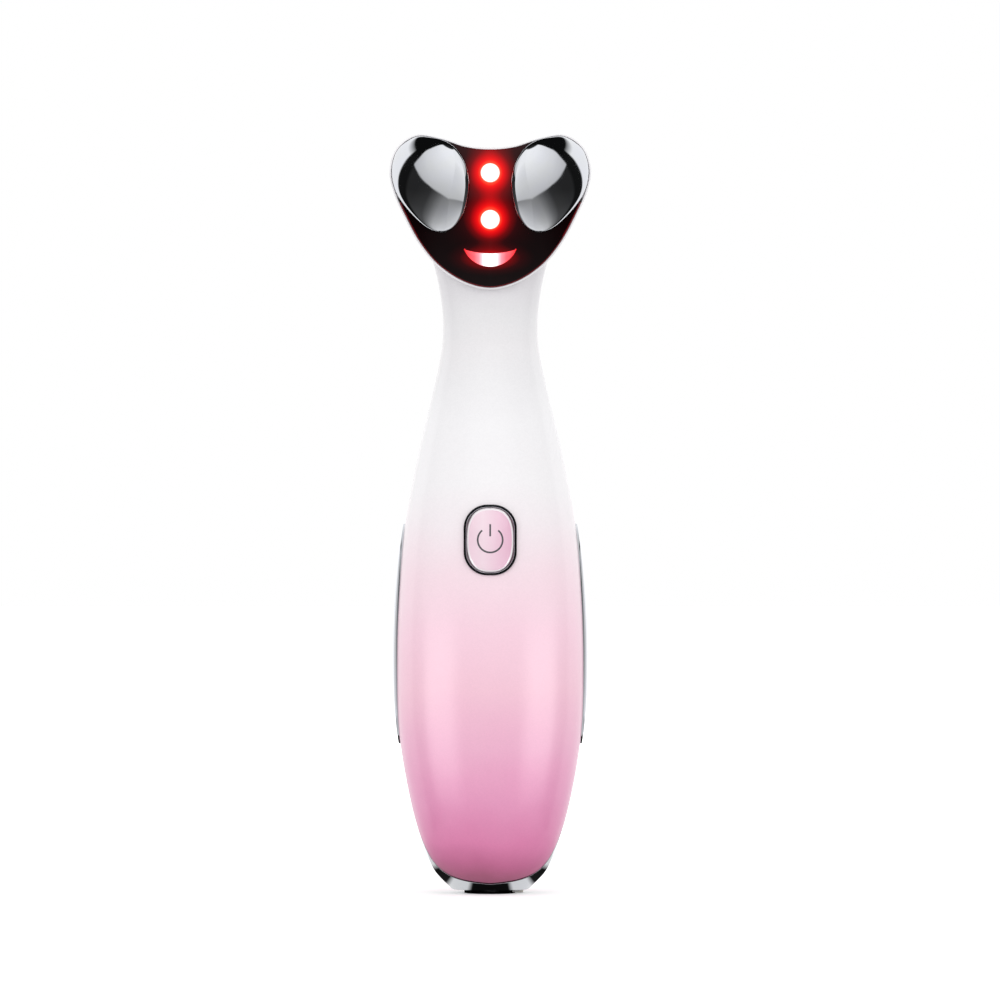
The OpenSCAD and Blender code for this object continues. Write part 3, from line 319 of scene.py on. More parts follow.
def rounded_outline(w, h, r, steps=14):
    """Points of a rounded rectangle in x and z, counterclockwise from the right."""
    out = []
    for cx, cz, a0 in ((1, 1, 0), (-1, 1, 90), (-1, -1, 180), (1, -1, 270)):
        for k in range(steps + 1):
            a = math.radians(a0 + 90 * k / steps)
            out.append((cx * (w / 2 - r) + r * math.cos(a), cz * (h / 2 - r) + r * math.sin(a)))
    return out


def button_ring(inset, lift):
    """The opening's outline drawn in by inset, a height above the shell's slope."""
    return [(x, BUTTON_Y + z * SLOPE - lift, BUTTON_Z + z)
            for x, z in rounded_outline(BUTTON_W - 2 * inset, BUTTON_H - 2 * inset, BUTTON_CORNER - inset)]


combine(front, skin("opening", [button_ring(-0.02, 4), button_ring(-0.02, -4)]))
true_normals(front, handle_field)
true_normals(rear, handle_field)
print("Front shell has its opening:", len(front.data.polygons), "faces")

# %% The ring round the button
BEZEL_RIM = 0.55
bezel_profile = [(0, -2.1), (0, 0.12), (0.04, 0.24), (0.12, 0.32), (0.24, 0.35), (0.36, 0.34), (0.46, 0.28),
                 (0.53, 0.18), (BEZEL_RIM, 0.05), (BEZEL_RIM, -2.1)]
bezel = skin("button_ring", [button_ring(inset, lift) for inset, lift in bezel_profile], "loop", sharp=60)

# %% The button's cap and its power sign
CAP_W, CAP_H = BUTTON_W - 2 * BEZEL_RIM - 0.24, BUTTON_H - 2 * BEZEL_RIM - 0.24
CROWN, CAP_SIDE, CAP_DEPTH, CAP_N = 0.75, 0.1, 2.2, 96
SHOULDER, SHOULDER_DROP = 0.93, 0.16


def cap_ring(share, lift):
    """Ring of the cap at a share of its outline, at a height over the shell's slope."""
    ring = []
    for k in range(CAP_N):
        a = math.tau * k / CAP_N
        x, z = share * CAP_W / 2 * power(math.cos(a), 2.6), share * CAP_H / 2 * power(math.sin(a), 2.5)
        ring.append((x, BUTTON_Y + z * SLOPE - lift, BUTTON_Z + z))
    return ring


def cap_lift(share):
    """Height of the cap over the shell's slope: a low dome with a rounded edge."""
    rounded = max((share - SHOULDER) / (1 - SHOULDER), 0)
    return CAP_SIDE + (CROWN - CAP_SIDE) * (1 - share * share) - SHOULDER_DROP * rounded ** 2


def cap_surface(x, z):
    share = (abs(x / (CAP_W / 2)) ** 2.55 + abs(z / (CAP_H / 2)) ** 2.55) ** (1 / 2.55)
    return BUTTON_Y + z * SLOPE - cap_lift(share)


cap_shares = [1, 0.99, 0.975, 0.955, 0.93, 0.89, 0.84, 0.78, 0.7, 0.6, 0.5, 0.4, 0.3, 0.2, 0.1, 0.04]
CATCH_OUT, CATCH_T = 0.9, 0.7
catch = (CAP_W + CATCH_OUT) / CAP_W
foot_rings = [cap_ring(catch, -CAP_DEPTH - CATCH_T), cap_ring(catch, -CAP_DEPTH), cap_ring(1, -CAP_DEPTH)]
cap = skin("button_cap", foot_rings + [cap_ring(s, cap_lift(s)) for s in cap_shares])

# %% Print the sign
SIGN_R, SIGN_STROKE, SIGN_GAP = 2.53, 0.35, 40


def sign_strip(name, path):
    """A flat printed line on the cap along a path in x and z, a few hundredths proud."""
    rings = []
    for i, (x, z) in enumerate(path):
        a, b = path[max(i - 1, 0)], path[min(i + 1, len(path) - 1)]
        dx, dz = b[0] - a[0], b[1] - a[1]
        length = math.hypot(dx, dz)
        nx, nz = -dz / length * SIGN_STROKE / 2, dx / length * SIGN_STROKE / 2
        ring = []
        for s, lift in ((-1, -0.04), (-1, 0.012), (-0.6, 0.025), (0.6, 0.025), (1, 0.012), (1, -0.04)):
            px, pz = x + s * nx, z + s * nz
            ring.append((px, cap_surface(px, pz) - lift, BUTTON_Z + pz))
        rings.append(ring)
    return skin(name, rings)


sign = sign_strip("power_sign_arc", [(SIGN_R * math.sin(math.radians(a)), SIGN_R * math.cos(math.radians(a)))
                                     for a in np.linspace(SIGN_GAP, 360 - SIGN_GAP, 72)])
sign_bar = sign_strip("power_sign_bar", [(0, z) for z in np.linspace(0.75, 3.2, 14)])
print("Button ring and cap:", len(bezel.data.polygons), len(cap.data.polygons), "faces")

# %% [markdown]
# ## Chrome side strips
# Each side carries a leaf of chrome-plated metal that the hand closes the circuit with. Its face follows
# the handle's side and is thickest along the middle, with thin rounded edges. It is a grid of points pushed
# out from the handle's own formula, so it can't float off or sink in.

# %% Make the strips
STRIP_LOW, STRIP_HIGH, STRIP_W, STRIP_T, STRIP_EDGE_T, STRIP_OFF = 30.2, 75.9, 8, 0.75, 0.25, 0.02
STRIP_ROWS, STRIP_COLUMNS = 110, 20


def leaf(u): return max(1 - abs(2 * u - 1) ** 2.2, 0) ** 0.6


def strip_ring(i, side):
    u = 0.008 + 0.984 * (0.5 - 0.5 * math.cos(math.pi * i / STRIP_ROWS))
    z, wide = STRIP_LOW + (STRIP_HIGH - STRIP_LOW) * u, leaf(u)
    outer, inner = [], []
    for j in range(STRIP_COLUMNS + 1):
        v = -math.cos(math.pi * j / STRIP_COLUMNS)
        y = float(lean_y(z)) + v * wide * STRIP_W / 2
        t = STRIP_EDGE_T + (STRIP_T - STRIP_EDGE_T) * wide * (1 - 0.4 * v * v)
        t *= 1 - 0.7 * max((abs(v) - 0.94) / 0.06, 0) ** 2
        x = float(side_x(y, z)) + STRIP_OFF
        outer.append((side * (x + t), y, z))
        inner.append((side * x, y, z))
    return outer + inner[::-1]


strips = {name: skin(name + "_chrome", [strip_ring(i, side) for i in range(STRIP_ROWS + 1)], "strip")
          for side, name in ((1, "right_side_strip"), (-1, "left_side_strip"))}
print("Strip faces:", [len(s.data.polygons) for s in strips.values()])

# %% [markdown]
# ## Chrome tail cap
# The cap closes the lower end and sends a rounded tongue up each side. It is one ring of profile turned
# round the handle, so each column can end at its own height. A fine rounded rim along its upper edge
# catches the light as a bright line beside the dark gap to the paint. The charge light's hole and the slot
# for the port cover's strap are cut afterwards.

# %% Make the cap
CAP_BASE, FLOOR_Z, PORT_R = 0.007 * HANDLE_H, 3.1, 5.3
LIP_IN, LIP_WALL, LIP_H, BEAD_R = SHELL_WALL + 0.2, 0.9, 3.0, 0.22
FOOT_DROP, FOOT_IN, PORT_FIT = 0.15, 0.3, 0.02
CAP_COLUMNS, CAP_ROWS = 240, 40


def cap_column(a):
    """The cap's profile at an angle: from the port over the foot, up, over the rim and back inside."""
    edge = saddle_z(a)
    bore, turned = PORT_R + PORT_FIT, math.radians(a)
    port_x, port_y = bore * math.cos(turned), bore * math.sin(turned)
    start = skin_point(CAP_BASE, a, -FOOT_IN)
    rows = [(port_x, port_y, CAP_BASE - FOOT_DROP), (start[0], start[1], CAP_BASE - FOOT_DROP)]
    for k in range(5):
        t = math.radians(90 * k / 4)
        rows.append(skin_point(CAP_BASE - FOOT_DROP * math.cos(t), a, -FOOT_IN + FOOT_IN * math.sin(t)))
    for i in range(1, CAP_ROWS + 1):
        z = CAP_BASE + (edge - BEAD_R - CAP_BASE) * i / CAP_ROWS
        rows.append(skin_point(z, a))
    for k in range(1, 7):
        t = math.radians(15 * k)
        rows.append(skin_point(edge - BEAD_R * (1 - math.sin(t)), a, -BEAD_R * (1 - math.cos(t))))
    rows.append(skin_point(edge, a, -LIP_IN))
    top = edge + LIP_H
    rows += [skin_point(edge + (top - edge) * i / 6, a, -LIP_IN) for i in range(1, 7)]
    rows += [skin_point(top + (FLOOR_Z - top) * i / 14, a, -LIP_IN - LIP_WALL) for i in range(15)]
    rows.append((port_x, port_y, FLOOR_Z))
    return rows


cap_columns = [cap_column(column(j / CAP_COLUMNS)) for j in range(CAP_COLUMNS)]
tail = skin("tail_cap_chrome", cap_columns, "loop", sharp=50)

# %% Cut the charge light's hole and the strap's slot
LIGHT_ANGLE, LENS_R = 135, 0.85
LIGHT_Z = CAP_BASE + 0.95
light_at = np.array(skin_point(LIGHT_Z, LIGHT_ANGLE))
around = np.subtract(skin_point(LIGHT_Z, LIGHT_ANGLE + 1), skin_point(LIGHT_Z, LIGHT_ANGLE - 1))
upward = np.subtract(skin_point(LIGHT_Z + 0.1, LIGHT_ANGLE), skin_point(LIGHT_Z - 0.1, LIGHT_ANGLE))
light_way = np.cross(around, upward)
light_way /= np.linalg.norm(light_way)


def rod(name, start, way, profile, n=64):
    """A turned piece along a direction from start: profile is pairs of distance and radius."""
    way = np.array(way, float) / np.linalg.norm(way)
    u = np.cross(way, (0, 0, 1) if abs(way[2]) < 0.9 else (1, 0, 0))
    u /= np.linalg.norm(u)
    v = np.cross(way, u)
    return skin(name, [[tuple(np.array(start) + d * way + r * (math.cos(math.tau * k / n) * u
                                                               + math.sin(math.tau * k / n) * v))
                        for k in range(n)] for d, r in profile])


def brick(name, low, high):
    """A plain block, only ever a cutting tool."""
    x0, y0, z0 = low
    x1, y1, z1 = high
    return skin(name, [[(x0, y0, z), (x1, y0, z), (x1, y1, z), (x0, y1, z)] for z in (z0, z1)])


SLOT_TO, SLOT_HALF, SLOT_TOP, STEM_FROM, STEM_HALF, STEM_TOP = 6.8, 1.6, 1.1, 5.9, 1.55, 4
combine(tail, rod("light_hole", light_at, light_way, [(-3.4, LENS_R + 0.05), (1, LENS_R + 0.05)]))
combine(tail, brick("strap_slot", (PORT_R - 0.5, -SLOT_HALF, -1), (SLOT_TO, SLOT_HALF, SLOT_TOP)))
combine(tail, brick("stem_slot", (STEM_FROM, -STEM_HALF, -1), (SLOT_TO, STEM_HALF, STEM_TOP)))
true_normals(tail, handle_field, sharp=50)
print("Tail cap faces:", len(tail.data.polygons))

# %% [markdown]
# ## The face's sweep
# The whole face is one shallow bowl turned inside out: nearly flat where the lights are, and sweeping back
# faster and faster towards the ears, where the pads wrap round the head. Everything on the face, from the
# housing's rim to the window and the pads, takes its depth from this one function, so it all stays flush.

# %% Face formulas
HEAD_TIP, HEAD_W, HEAD_H, HEAD_D, HEAD_WALL, RIM_Y = 123.2, 41.2, 31.8, 16.4, 1.6, -10.4
HEAD_MID = 17.8 / 31.8 * HEAD_H
SWEEP, SWEEP_POWER, SWEEP_R, SWEEP_UP = 7.9, 3.5, 24, 12.8
RIM_LIP, WINDOW_T, TAPE_T = 0.4, 1.1, 0.25
WINDOW_BACK = RIM_Y + 0.5


def sweep(x, z):
    """How far the face lies behind its own tip."""
    rho = np.hypot(x, z - HEAD_TIP - SWEEP_UP)
    return SWEEP * ((rho / SWEEP_R) ** SWEEP_POWER - (SWEEP_UP / SWEEP_R) ** SWEEP_POWER)


HEART = [(0.000, 0.000), (0.267, 0.041), (0.519, 0.148), (0.709, 0.296), (0.854, 0.469), (0.961, 0.632),
         (1.000, 0.774), (0.932, 0.918), (0.743, 1.000), (0.505, 0.978), (0.252, 0.925), (0.000, 0.909)]


def closed_curve(loop, steps):
    """A smooth closed curve through a loop of points, as an array."""
    out, n = [], len(loop)
    for i in range(n):
        a, b, c, d = (np.array(loop[(i + k) % n]) for k in (-1, 0, 1, 2))
        for s in range(steps):
            u = s / steps
            bend = a - 2.5 * b + 2 * c - d / 2 + u * ((d - a) / 2 + 1.5 * (b - c))
            out.append(b + u * ((c - a) / 2 + u * bend))
    return np.array(out)


right_half = [(x * HEAD_W / 2, z * HEAD_H) for x, z in HEART]
HEART_RING = closed_curve(right_half + [(-x, z) for x, z in right_half[-2:0:-1]], 9)


def heart_ring(inset, share, depth):
    """The outline drawn in by inset at a share of its size; depth gives y from x and z."""
    ring = []
    for p in HEART_RING:
        d = p - np.array((0, HEAD_MID))
        q = share * (1 - inset / np.linalg.norm(d)) * d
        x, z = float(q[0]), float(HEAD_TIP + HEAD_MID + q[1])
        ring.append((x, float(depth(x, z)), z))
    return ring


print("The ears lie", round(float(sweep(20.6, 147.8)), 1), "mm behind the tip")

# %% [markdown]
# ## Head housing
# Behind the face is a white moulded bowl, deep in the middle and shallower at the ears. Its rings shrink
# from the rim to the back along a squarish oval. The neck comes up through a hole in its lower side.

# %% Make the housing
BOWL_POWER, BOWL_ROWS = 3, 44


def bowl_step(w):
    """Angle at share w of the bowl's side, spaced so that both the rim and the back get small steps."""
    a, b = (1 - w) ** 1.5, w ** 1.5
    return math.pi / 2 * a / (a + b)


def bowl_ring(inset, wall, t):
    """Ring of the bowl: t is a right angle at the rim and nothing at the back."""
    share, deep = math.sin(t) ** (2 / BOWL_POWER), math.cos(t) ** (2 / BOWL_POWER)
    rim = heart_ring(inset, 1, sweep)
    mid = HEAD_TIP + HEAD_MID
    return [(share * x, RIM_Y + back + (HEAD_D - wall - back) * deep, mid + share * (z - mid))
            for x, back, z in rim]


bowl_ws = [k / BOWL_ROWS for k in range(BOWL_ROWS)] + [0.995]
outer_rings = [bowl_ring(0, 0, bowl_step(w)) for w in reversed(bowl_ws)]
inner_rings = [bowl_ring(HEAD_WALL, HEAD_WALL, bowl_step(w)) for w in bowl_ws]
housing = skin("head_housing_shell", outer_rings + inner_rings, sharp=40)
neck_low, neck_high = HEAD_TIP - 3, neck_top(90) + 0.1
neck_hole = skin("neck_hole", [[skin_point(z, column(j / 96), 0.1) for j in range(96)]
                               for z in np.linspace(neck_low, neck_high, 9)])
combine(housing, neck_hole)


# %% Sink the face's seat into the housing
def face_tool(name, inset, back, reach=6):
    """A block in front of the swept face, for cutting its seat."""
    shares = [1, 0.9, 0.78, 0.65, 0.5, 0.35, 0.2, 0.06]
    deep = [heart_ring(inset, s, lambda x, z: WINDOW_BACK + back + sweep(x, z)) for s in reversed(shares)]
    near = [heart_ring(inset, s, lambda x, z: RIM_Y - reach) for s in (1, 0.5, 0.06)]
    return skin(name, deep + near)


PAD_W, PAD_L, PAD_X, PAD_UP = 15.8, 19.6, 12.15, 21.5
PAD = [(-0.250, -1.000), (0.089, -0.913), (0.453, -0.652), (0.768, -0.330), (0.935, -0.049), (1.000, 0.278),
       (0.950, 0.565), (0.793, 0.800), (0.393, 1.000), (0.004, 0.984), (-0.335, 0.912), (-0.652, 0.734),
       (-0.903, 0.411), (-0.998, 0.053), (-0.960, -0.294), (-0.828, -0.662), (-0.577, -0.918)]
PAD_RING = closed_curve([(x * PAD_W / 2, z * PAD_L / 2) for x, z in PAD], 9)


def pad_ring(side, grow, share, depth):
    """Outline of a pad: side is 1 for the right and -1 for the left; depth gives y from x and z."""
    ring = []
    for p in PAD_RING:
        q = share * (1 + grow / np.linalg.norm(p)) * p
        x, z = float(PAD_X + q[0]), float(HEAD_TIP + PAD_UP + q[1])
        ring.append((side * x, float(depth(x, z)), z))
    return ring


combine(housing, face_tool("window_seat", RIM_LIP - 0.05, TAPE_T))
housing.data.shade_smooth()
housing.data.set_sharp_from_angle(angle=math.radians(32))
print("Housing faces:", len(housing.data.polygons))

# %% [markdown]
# ## Face window
# A plate of dark red polycarbonate, polished and slightly see-through, lies in the rim and follows the
# sweep. Its edge is rounded over, and it is cut out for the pads, the two round lights and the crescent.

# %% Make the window
WINDOW_EDGE_R = 0.45


def window_front(x, z): return WINDOW_BACK - WINDOW_T + sweep(x, z)


window_rings = [heart_ring(RIM_LIP, s, lambda x, z: WINDOW_BACK + sweep(x, z))
                for s in (0.03, 0.3, 0.6, 0.85, 1)]
for k in range(7):
    t = math.radians(15 * k)
    drop = WINDOW_EDGE_R * (1 - math.sin(t))
    inset = WINDOW_EDGE_R * (1 - math.cos(t))
    window_rings.append(heart_ring(RIM_LIP + inset, 1, lambda x, z: window_front(x, z) + drop))
window_rings += [heart_ring(RIM_LIP + WINDOW_EDGE_R, s, window_front) for s in np.linspace(0.97, 0.03, 26)]
window = skin("face_window_red", window_rings)
ear_x, ear_z = PAD_X - 0.225 * PAD_W, HEAD_TIP + PAD_UP - 0.138 * PAD_L
for side in (1, -1):
    combine(window, skin("pad_hole", [pad_ring(side, 0.1, 1, lambda x, z: y) for y in (-20, 0)]))
    ear_from, ear_to = sorted((side * ear_x, side * 30))
    combine(window, brick("ear", (ear_from, -20, ear_z), (ear_to, 0, 160)))

# %% Cut the window for the lights
LIGHT_R, LIGHT_UPS = 2.0, (14.2, 23.7)
SMILE_HALF, SMILE_UP, SMILE_DIP, SMILE_DROP = 5.4, 8.2, 0.9, 3.6


def smile_outline(gap, n=40):
    """Crescent between two arcs through the same two corners, in x and z."""
    upper = (SMILE_HALF ** 2 + SMILE_DIP ** 2) / (2 * SMILE_DIP)
    lower = (SMILE_HALF ** 2 + SMILE_DROP ** 2) / (2 * SMILE_DROP)
    base = HEAD_TIP + SMILE_UP
    points = []
    half = SMILE_HALF - gap
    for k in range(n + 1):
        x = half * math.sin(math.pi * (k / n - 0.5))
        points.append((x, base - SMILE_DROP + lower - math.sqrt(max((lower - gap) ** 2 - x * x, 0))))
    for k in range(n - 1, 0, -1):
        x = half * math.sin(math.pi * (k / n - 0.5))
        points.append((x, base - SMILE_DIP + upper - math.sqrt((upper + gap) ** 2 - x * x)))
    return points


for up in LIGHT_UPS:
    combine(window, rod("light_hole", (0, -20, HEAD_TIP + up), (0, 1, 0), [(0, LIGHT_R), (20, LIGHT_R)], 96))
combine(window, skin("smile_hole", [[(x, y, z) for x, z in smile_outline(0)] for y in (-20, 0)]))


def sheet_field(p):
    return WINDOW_BACK - WINDOW_T + sweep(p[:, 0], p[:, 2]) - p[:, 1]


true_normals(window, sheet_field)
print("Window faces:", len(window.data.polygons))

# %% [markdown]
# ## Light lenses
# The two round lights and the crescent are clear red lenses let into the window, flush with it. They glow
# from lamps behind them: nearly white in the middle, where the light is too strong for the eye to see its
# colour.

# %% Make the lenses
LENS_BACK = WINDOW_BACK + TAPE_T + 0.6
DOME = ((1.98, -0.08), (1.93, -0.02), (1.8, 0.04), (1.4, 0.09), (0.9, 0.12), (0.3, 0.13))
lenses = []
for k, up in enumerate(LIGHT_UPS):
    z0 = HEAD_TIP + up
    surface = float(window_front(0, z0))
    steps = [(DOME[0][0], LENS_BACK), *((r, surface - lift) for r, lift in DOME)]
    turns = np.linspace(0, math.tau, 72, endpoint=False)
    rings = [[(r * math.cos(a), y, z0 + r * math.sin(a)) for a in turns] for r, y in steps]
    lenses.append(skin(f"round_light_{k + 1}", rings))

smile_y = float(window_front(0, HEAD_TIP + SMILE_UP - SMILE_DROP / 2))
smile_steps = ((0.02, LENS_BACK), (0.02, smile_y + 0.1), (0.08, smile_y), (0.3, smile_y - 0.06))
smile_rings = [[(x, y, z) for x, z in smile_outline(gap)] for gap, y in smile_steps]
smile = skin("crescent_light", smile_rings, "strip")
print("Lenses:", [o.name for o in lenses + [smile]])

# %% [markdown]
# ## Electrode pads
# Each pad is a chrome-plated metal casting, egg-shaped from the front, that wraps back round the ear. Over
# the sweep lies a low dome whose edge turns down steeply: that gives the thin bright line round the pad,
# and leaves the broad middle calm enough to mirror a whole studio light.

# %% Make the pads
PAD_RISE, PAD_DOME, PAD_WALL, PAD_SEAT = 0.5, 1.6, 1.3, 0.05
pad_shares = [math.sin(math.radians(a)) for a in np.linspace(2, 90, 46)]


def pad_dome(side, share, wall=0.0):
    """Ring of the pad's dome at a share of its outline, or of its inside, a wall's thickness below."""
    lift = PAD_RISE - wall + PAD_DOME * math.sqrt(max(1 - share * share, 0))
    return pad_ring(side, -wall, share, lambda x, z: window_front(x, z) - lift)


pads = {}
for side, name in ((1, "right_electrode"), (-1, "left_electrode")):
    rings = [pad_dome(side, s, PAD_WALL) for s in (0.05, 0.3, 0.55, 0.75, 0.9, 1)]
    rings += [pad_ring(side, grow, 1, lambda x, z: WINDOW_BACK + PAD_SEAT + sweep(x, z))
              for grow in (-PAD_WALL, 0)]
    rings += [pad_dome(side, s) for s in reversed(pad_shares)]
    pads[name] = skin(name + "_chrome", rings, sharp=50)
print("Pad faces:", [len(p.data.polygons) for p in pads.values()])

# %% [markdown]
# ## Soft port cover
# The charging port is closed by a lid of cream silicone on a strap. On the real one the strap bends like a
# hinge, so it is one piece here, with rows of points across the bend.

# %% Make the cover
TETHER_W, TETHER_T, TETHER_LOW, SEAT_R, LID_T = 3.0, 0.6, 0.15, 4.6, 1.1
lid_profile = [(0, 3.9), (0, 4.36), (0.05, 4.47), (0.14, 4.52), (0.5, 4.45), (0.9, 4.34), (1.02, 4.27),
               (LID_T, 4.12), (LID_T, 3.9)]
STRAP_FROM, STRAP_TO, STRAP_EDGE, STEM_AT, BARB_TOP = 3.2, 6.75, 0.1, (5.97, 6.2, 6.5, 6.74), 3.85
NOTCH_R, NOTCH_DEEP = 1.2, 1.55
cover = rod("port_cover_silicone", (0, 0, TETHER_LOW), (0, 0, 1), lid_profile, 120)


def strap_ring(x, low, high):
    """Section of the strap or its stem at x, with eased edges."""
    w, r = TETHER_W / 2, STRAP_EDGE
    return [(x, y, z) for y, z in ((-w + r, low), (w - r, low), (w, low + r), (w, high - r), (w - r, high),
                                   (-w + r, high), (-w, high - r), (-w, low + r))]


strap_at = np.linspace(STRAP_FROM, STRAP_TO, 32)
combine(cover, skin("strap", [strap_ring(x, TETHER_LOW, TETHER_LOW + TETHER_T) for x in strap_at]), "UNION")
combine(cover, skin("stem", [strap_ring(x, TETHER_LOW + 0.05, BARB_TOP) for x in STEM_AT]), "UNION")
notch = [(0, NOTCH_R), (NOTCH_DEEP, NOTCH_R)]
combine(cover, rod("nail_notch", (-SEAT_R, 0, TETHER_LOW - 1), (0, 0, 1), notch, 48))
cover.data.shade_smooth()
cover.data.set_sharp_from_angle(angle=math.radians(40))
print("Cover faces:", len(cover.data.polygons))

# %% [markdown]
# ## Riding on the frame
# Each piece moves with a body of the CAD model, and hides the CAD node that it stands for. The silicone
# cover stays where it is built and is tied to no body.

# %% Tie the pieces to the bodies
RIDES = [(front, "case", "front_shell"), (rear, "case", "rear_shell"), (tail, "case", "tail_cap"),
         (bezel, "case", "button_bezel"), (cap, "button", "power_button"), (housing, "case", "head_housing"),
         (window, "case", "face_window"), (smile, "case", "smile_light_guide")]
RIDES += [(piece, "case", node) for node, piece in (strips | pads).items()]
for piece, body, node in RIDES:
    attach(piece, body)
    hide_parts(node)
for lens in lenses:
    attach(lens, "case")
    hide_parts("light_lenses")
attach(sign, "button")
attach(sign_bar, "button")
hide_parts("port_cover", "port_cover_root")
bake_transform(cover)

# %% [markdown]
# ## Colours and nodes
# Colours are written as sRGB hex, the way a paint chart or a screen gives them, and one function turns them
# to the linear values that the shaders work in. One more function adds a node with its settings and its
# links. A node may stand for its first output, which keeps a chain of nodes readable from top to bottom.


# %% Add a node
def linear(code):
    """An sRGB hex colour as linear red, green, blue and alpha."""
    parts = [int(code[i:i + 2], 16) / 255 for i in (1, 3, 5)]
    return (*[c / 12.92 if c <= 0.04045 else ((c + 0.055) / 1.055) ** 2.4 for c in parts], 1)


def add(tree, kind, sockets=None, stops=None, **settings):
    """Adds a node. A socket takes a value, an output or a node; stops are a ramp's (position, hex colour)."""
    node = tree.nodes.new("ShaderNode" + kind)
    for key, value in settings.items():
        setattr(node, key, value)
    for key, value in (sockets or {}).items():
        if isinstance(value, bpy.types.Node):
            value = value.outputs[0]
        if isinstance(value, bpy.types.NodeSocket):
            tree.links.new(value, node.inputs[key])
        else:
            node.inputs[key].default_value = value
    if stops:
        band = node.color_ramp.elements
        while len(band) < len(stops):
            band.new(0.5)
        for mark, (at, code) in zip(band, sorted(stops)):
            mark.position, mark.color = at, linear(code)
    return node


def per_mm(size):
    """A texture's scale at which its pattern measures size in millimetres."""
    return 1 / (size * MM)


# %% [markdown]
# ## What all finishes share
# Every finish is one Principled shader. A plain one has two close tones in soft lumps, because no moulded,
# drawn or printed surface is one flat colour, and often a bump that follows the same lumps. The lumps are
# noise, whose size is that of the real unevenness.


# %% Start and end a finish
LUMP_DETAIL = 3.0


def new_finish(name):
    """A new material, its empty tree, and object coordinates that start at the middle of the foot."""
    material = bpy.data.materials.new(name)
    material.use_nodes = True
    material.node_tree.nodes.clear()
    return material, material.node_tree, add(material.node_tree, "TexCoord").outputs["Object"]


def close_finish(tree, sockets):
    """Ends a tree with its shader and output."""
    add(tree, "OutputMaterial", {"Surface": add(tree, "BsdfPrincipled", sockets)})


def mottled(name, dark, light, lump_mm, sockets, depth_mm=0.0, grit_mm=None, edge=0.35):
    """Two close tones in lumps. With a depth it has a bump too, in the same lumps or in a finer grit."""
    material, tree, place = new_finish(name)
    lumps = add(tree, "TexNoise", {"Vector": place, "Scale": per_mm(lump_mm), "Detail": LUMP_DETAIL})
    tones = add(tree, "ValToRGB", {0: lumps}, [(edge, dark), (1 - edge, light)])
    sockets = {"Base Color": tones, **sockets}
    if grit_mm:
        lumps = add(tree, "TexNoise", {"Vector": place, "Scale": per_mm(grit_mm), "Detail": LUMP_DETAIL})
    if depth_mm:
        sockets["Normal"] = add(tree, "Bump", {"Height": lumps, "Distance": depth_mm * MM, "Strength": 1.0})
    close_finish(tree, sockets)
    return material


def dress(pieces, material):
    """Gives pieces their material, and the slot that the exported model names it by."""
    for piece in pieces:
        piece.data.materials.append(material)


# %% [markdown]
# ## Pearl paint
# The shells are ABS, sprayed with a pearl colour coat and a clear coat over it. The spray fades from pearl
# white at the top to a clear pink at the foot. Over that fade, the white greys towards the top of the neck
# as painted shade under the head, and the pink darkens at the very foot as painted shade where the belly
# curves under. Mica flakes of about a tenth of a millimetre give the faint shimmer: here they are drawn a
# little coarser, at a quarter, so that they show. The clear coat gives the wet gloss. The fade is a ramp
# over the height, and slow noise moves it up and down by a millimetre, as a spray gun does.

# %% Make the pearl paint
SPRAY_DRIFT, CLOUD_MM, FLAKE_MM, ORANGE_PEEL_MM = 1.2 * MM, 14, 0.25, 1.6


def pearl_paint(name, stops, low=0.0, high=0.131):
    """Paint that changes with height, from low to high in metres."""
    material, tree, place = new_finish(name)
    cloud = add(tree, "TexNoise", {"Vector": place, "Scale": per_mm(CLOUD_MM), "Detail": LUMP_DETAIL})
    drift = add(tree, "MapRange", {0: cloud, 1: 0.3, 2: 0.7, 3: -SPRAY_DRIFT, 4: SPRAY_DRIFT})
    height = add(tree, "SeparateXYZ", {0: place}).outputs["Z"]
    height = add(tree, "Math", {0: height, 1: drift}, operation="ADD")
    base = add(tree, "ValToRGB", {0: add(tree, "MapRange", {0: height, 1: low, 2: high})}, stops)
    flakes = add(tree, "TexVoronoi", {"Vector": place, "Scale": per_mm(FLAKE_MM)}).outputs["Color"]
    tone = add(tree, "SeparateXYZ", {0: flakes}).outputs["X"]
    brightness = add(tree, "MapRange", {0: tone, 3: 0.985, 4: 1.015})
    peel = add(tree, "TexNoise", {"Vector": place, "Scale": per_mm(ORANGE_PEEL_MM), "Detail": LUMP_DETAIL})
    close_finish(tree, {
        "Base Color": add(tree, "HueSaturation", {"Color": base, "Value": brightness}),
        "Roughness": add(tree, "MapRange", {0: tone, 3: 0.3, 4: 0.38}),
        "Specular IOR Level": 0.2, "Coat Weight": 0.5, "Coat Roughness": 0.06, "Coat IOR": 1.45,
        "Coat Normal": add(tree, "Bump", {"Height": peel, "Distance": 0.004 * MM, "Strength": 1.0})})
    return material


# The greyer top stops are painted shade under the head; the darkest low stops, painted shade at the foot
PINK_FADE_AND_SHADE = [
    (0.0, "#9a4f70"), (0.03, "#a95c7c"), (0.052, "#c56c96"), (0.08, "#dc82ae"), (0.145, "#e79cc1"),
    (0.188, "#eca7c8"), (0.232, "#efb4cf"), (0.32, "#f6c8d9"), (0.407, "#f9d3e2"), (0.495, "#f8e0e9"),
    (0.58, "#f6eef2"), (0.64, "#f6f4f6"), (0.73, "#f5f4f6"), (0.8, "#efeef0"), (0.85, "#edebed"),
    (0.9, "#e7e6e8"), (0.93, "#e3e1e4")]
handle_paint = pearl_paint("sprayed pearl paint fading to pink", PINK_FADE_AND_SHADE)
dress((front, rear), handle_paint)
head_paint = pearl_paint("sprayed pearl white", [(0.0, "#f3f1f4"), (1.0, "#f6f4f7")], 0.12, 0.156)
dress((housing,), head_paint)
print("Paints:", handle_paint.name, "and", head_paint.name)

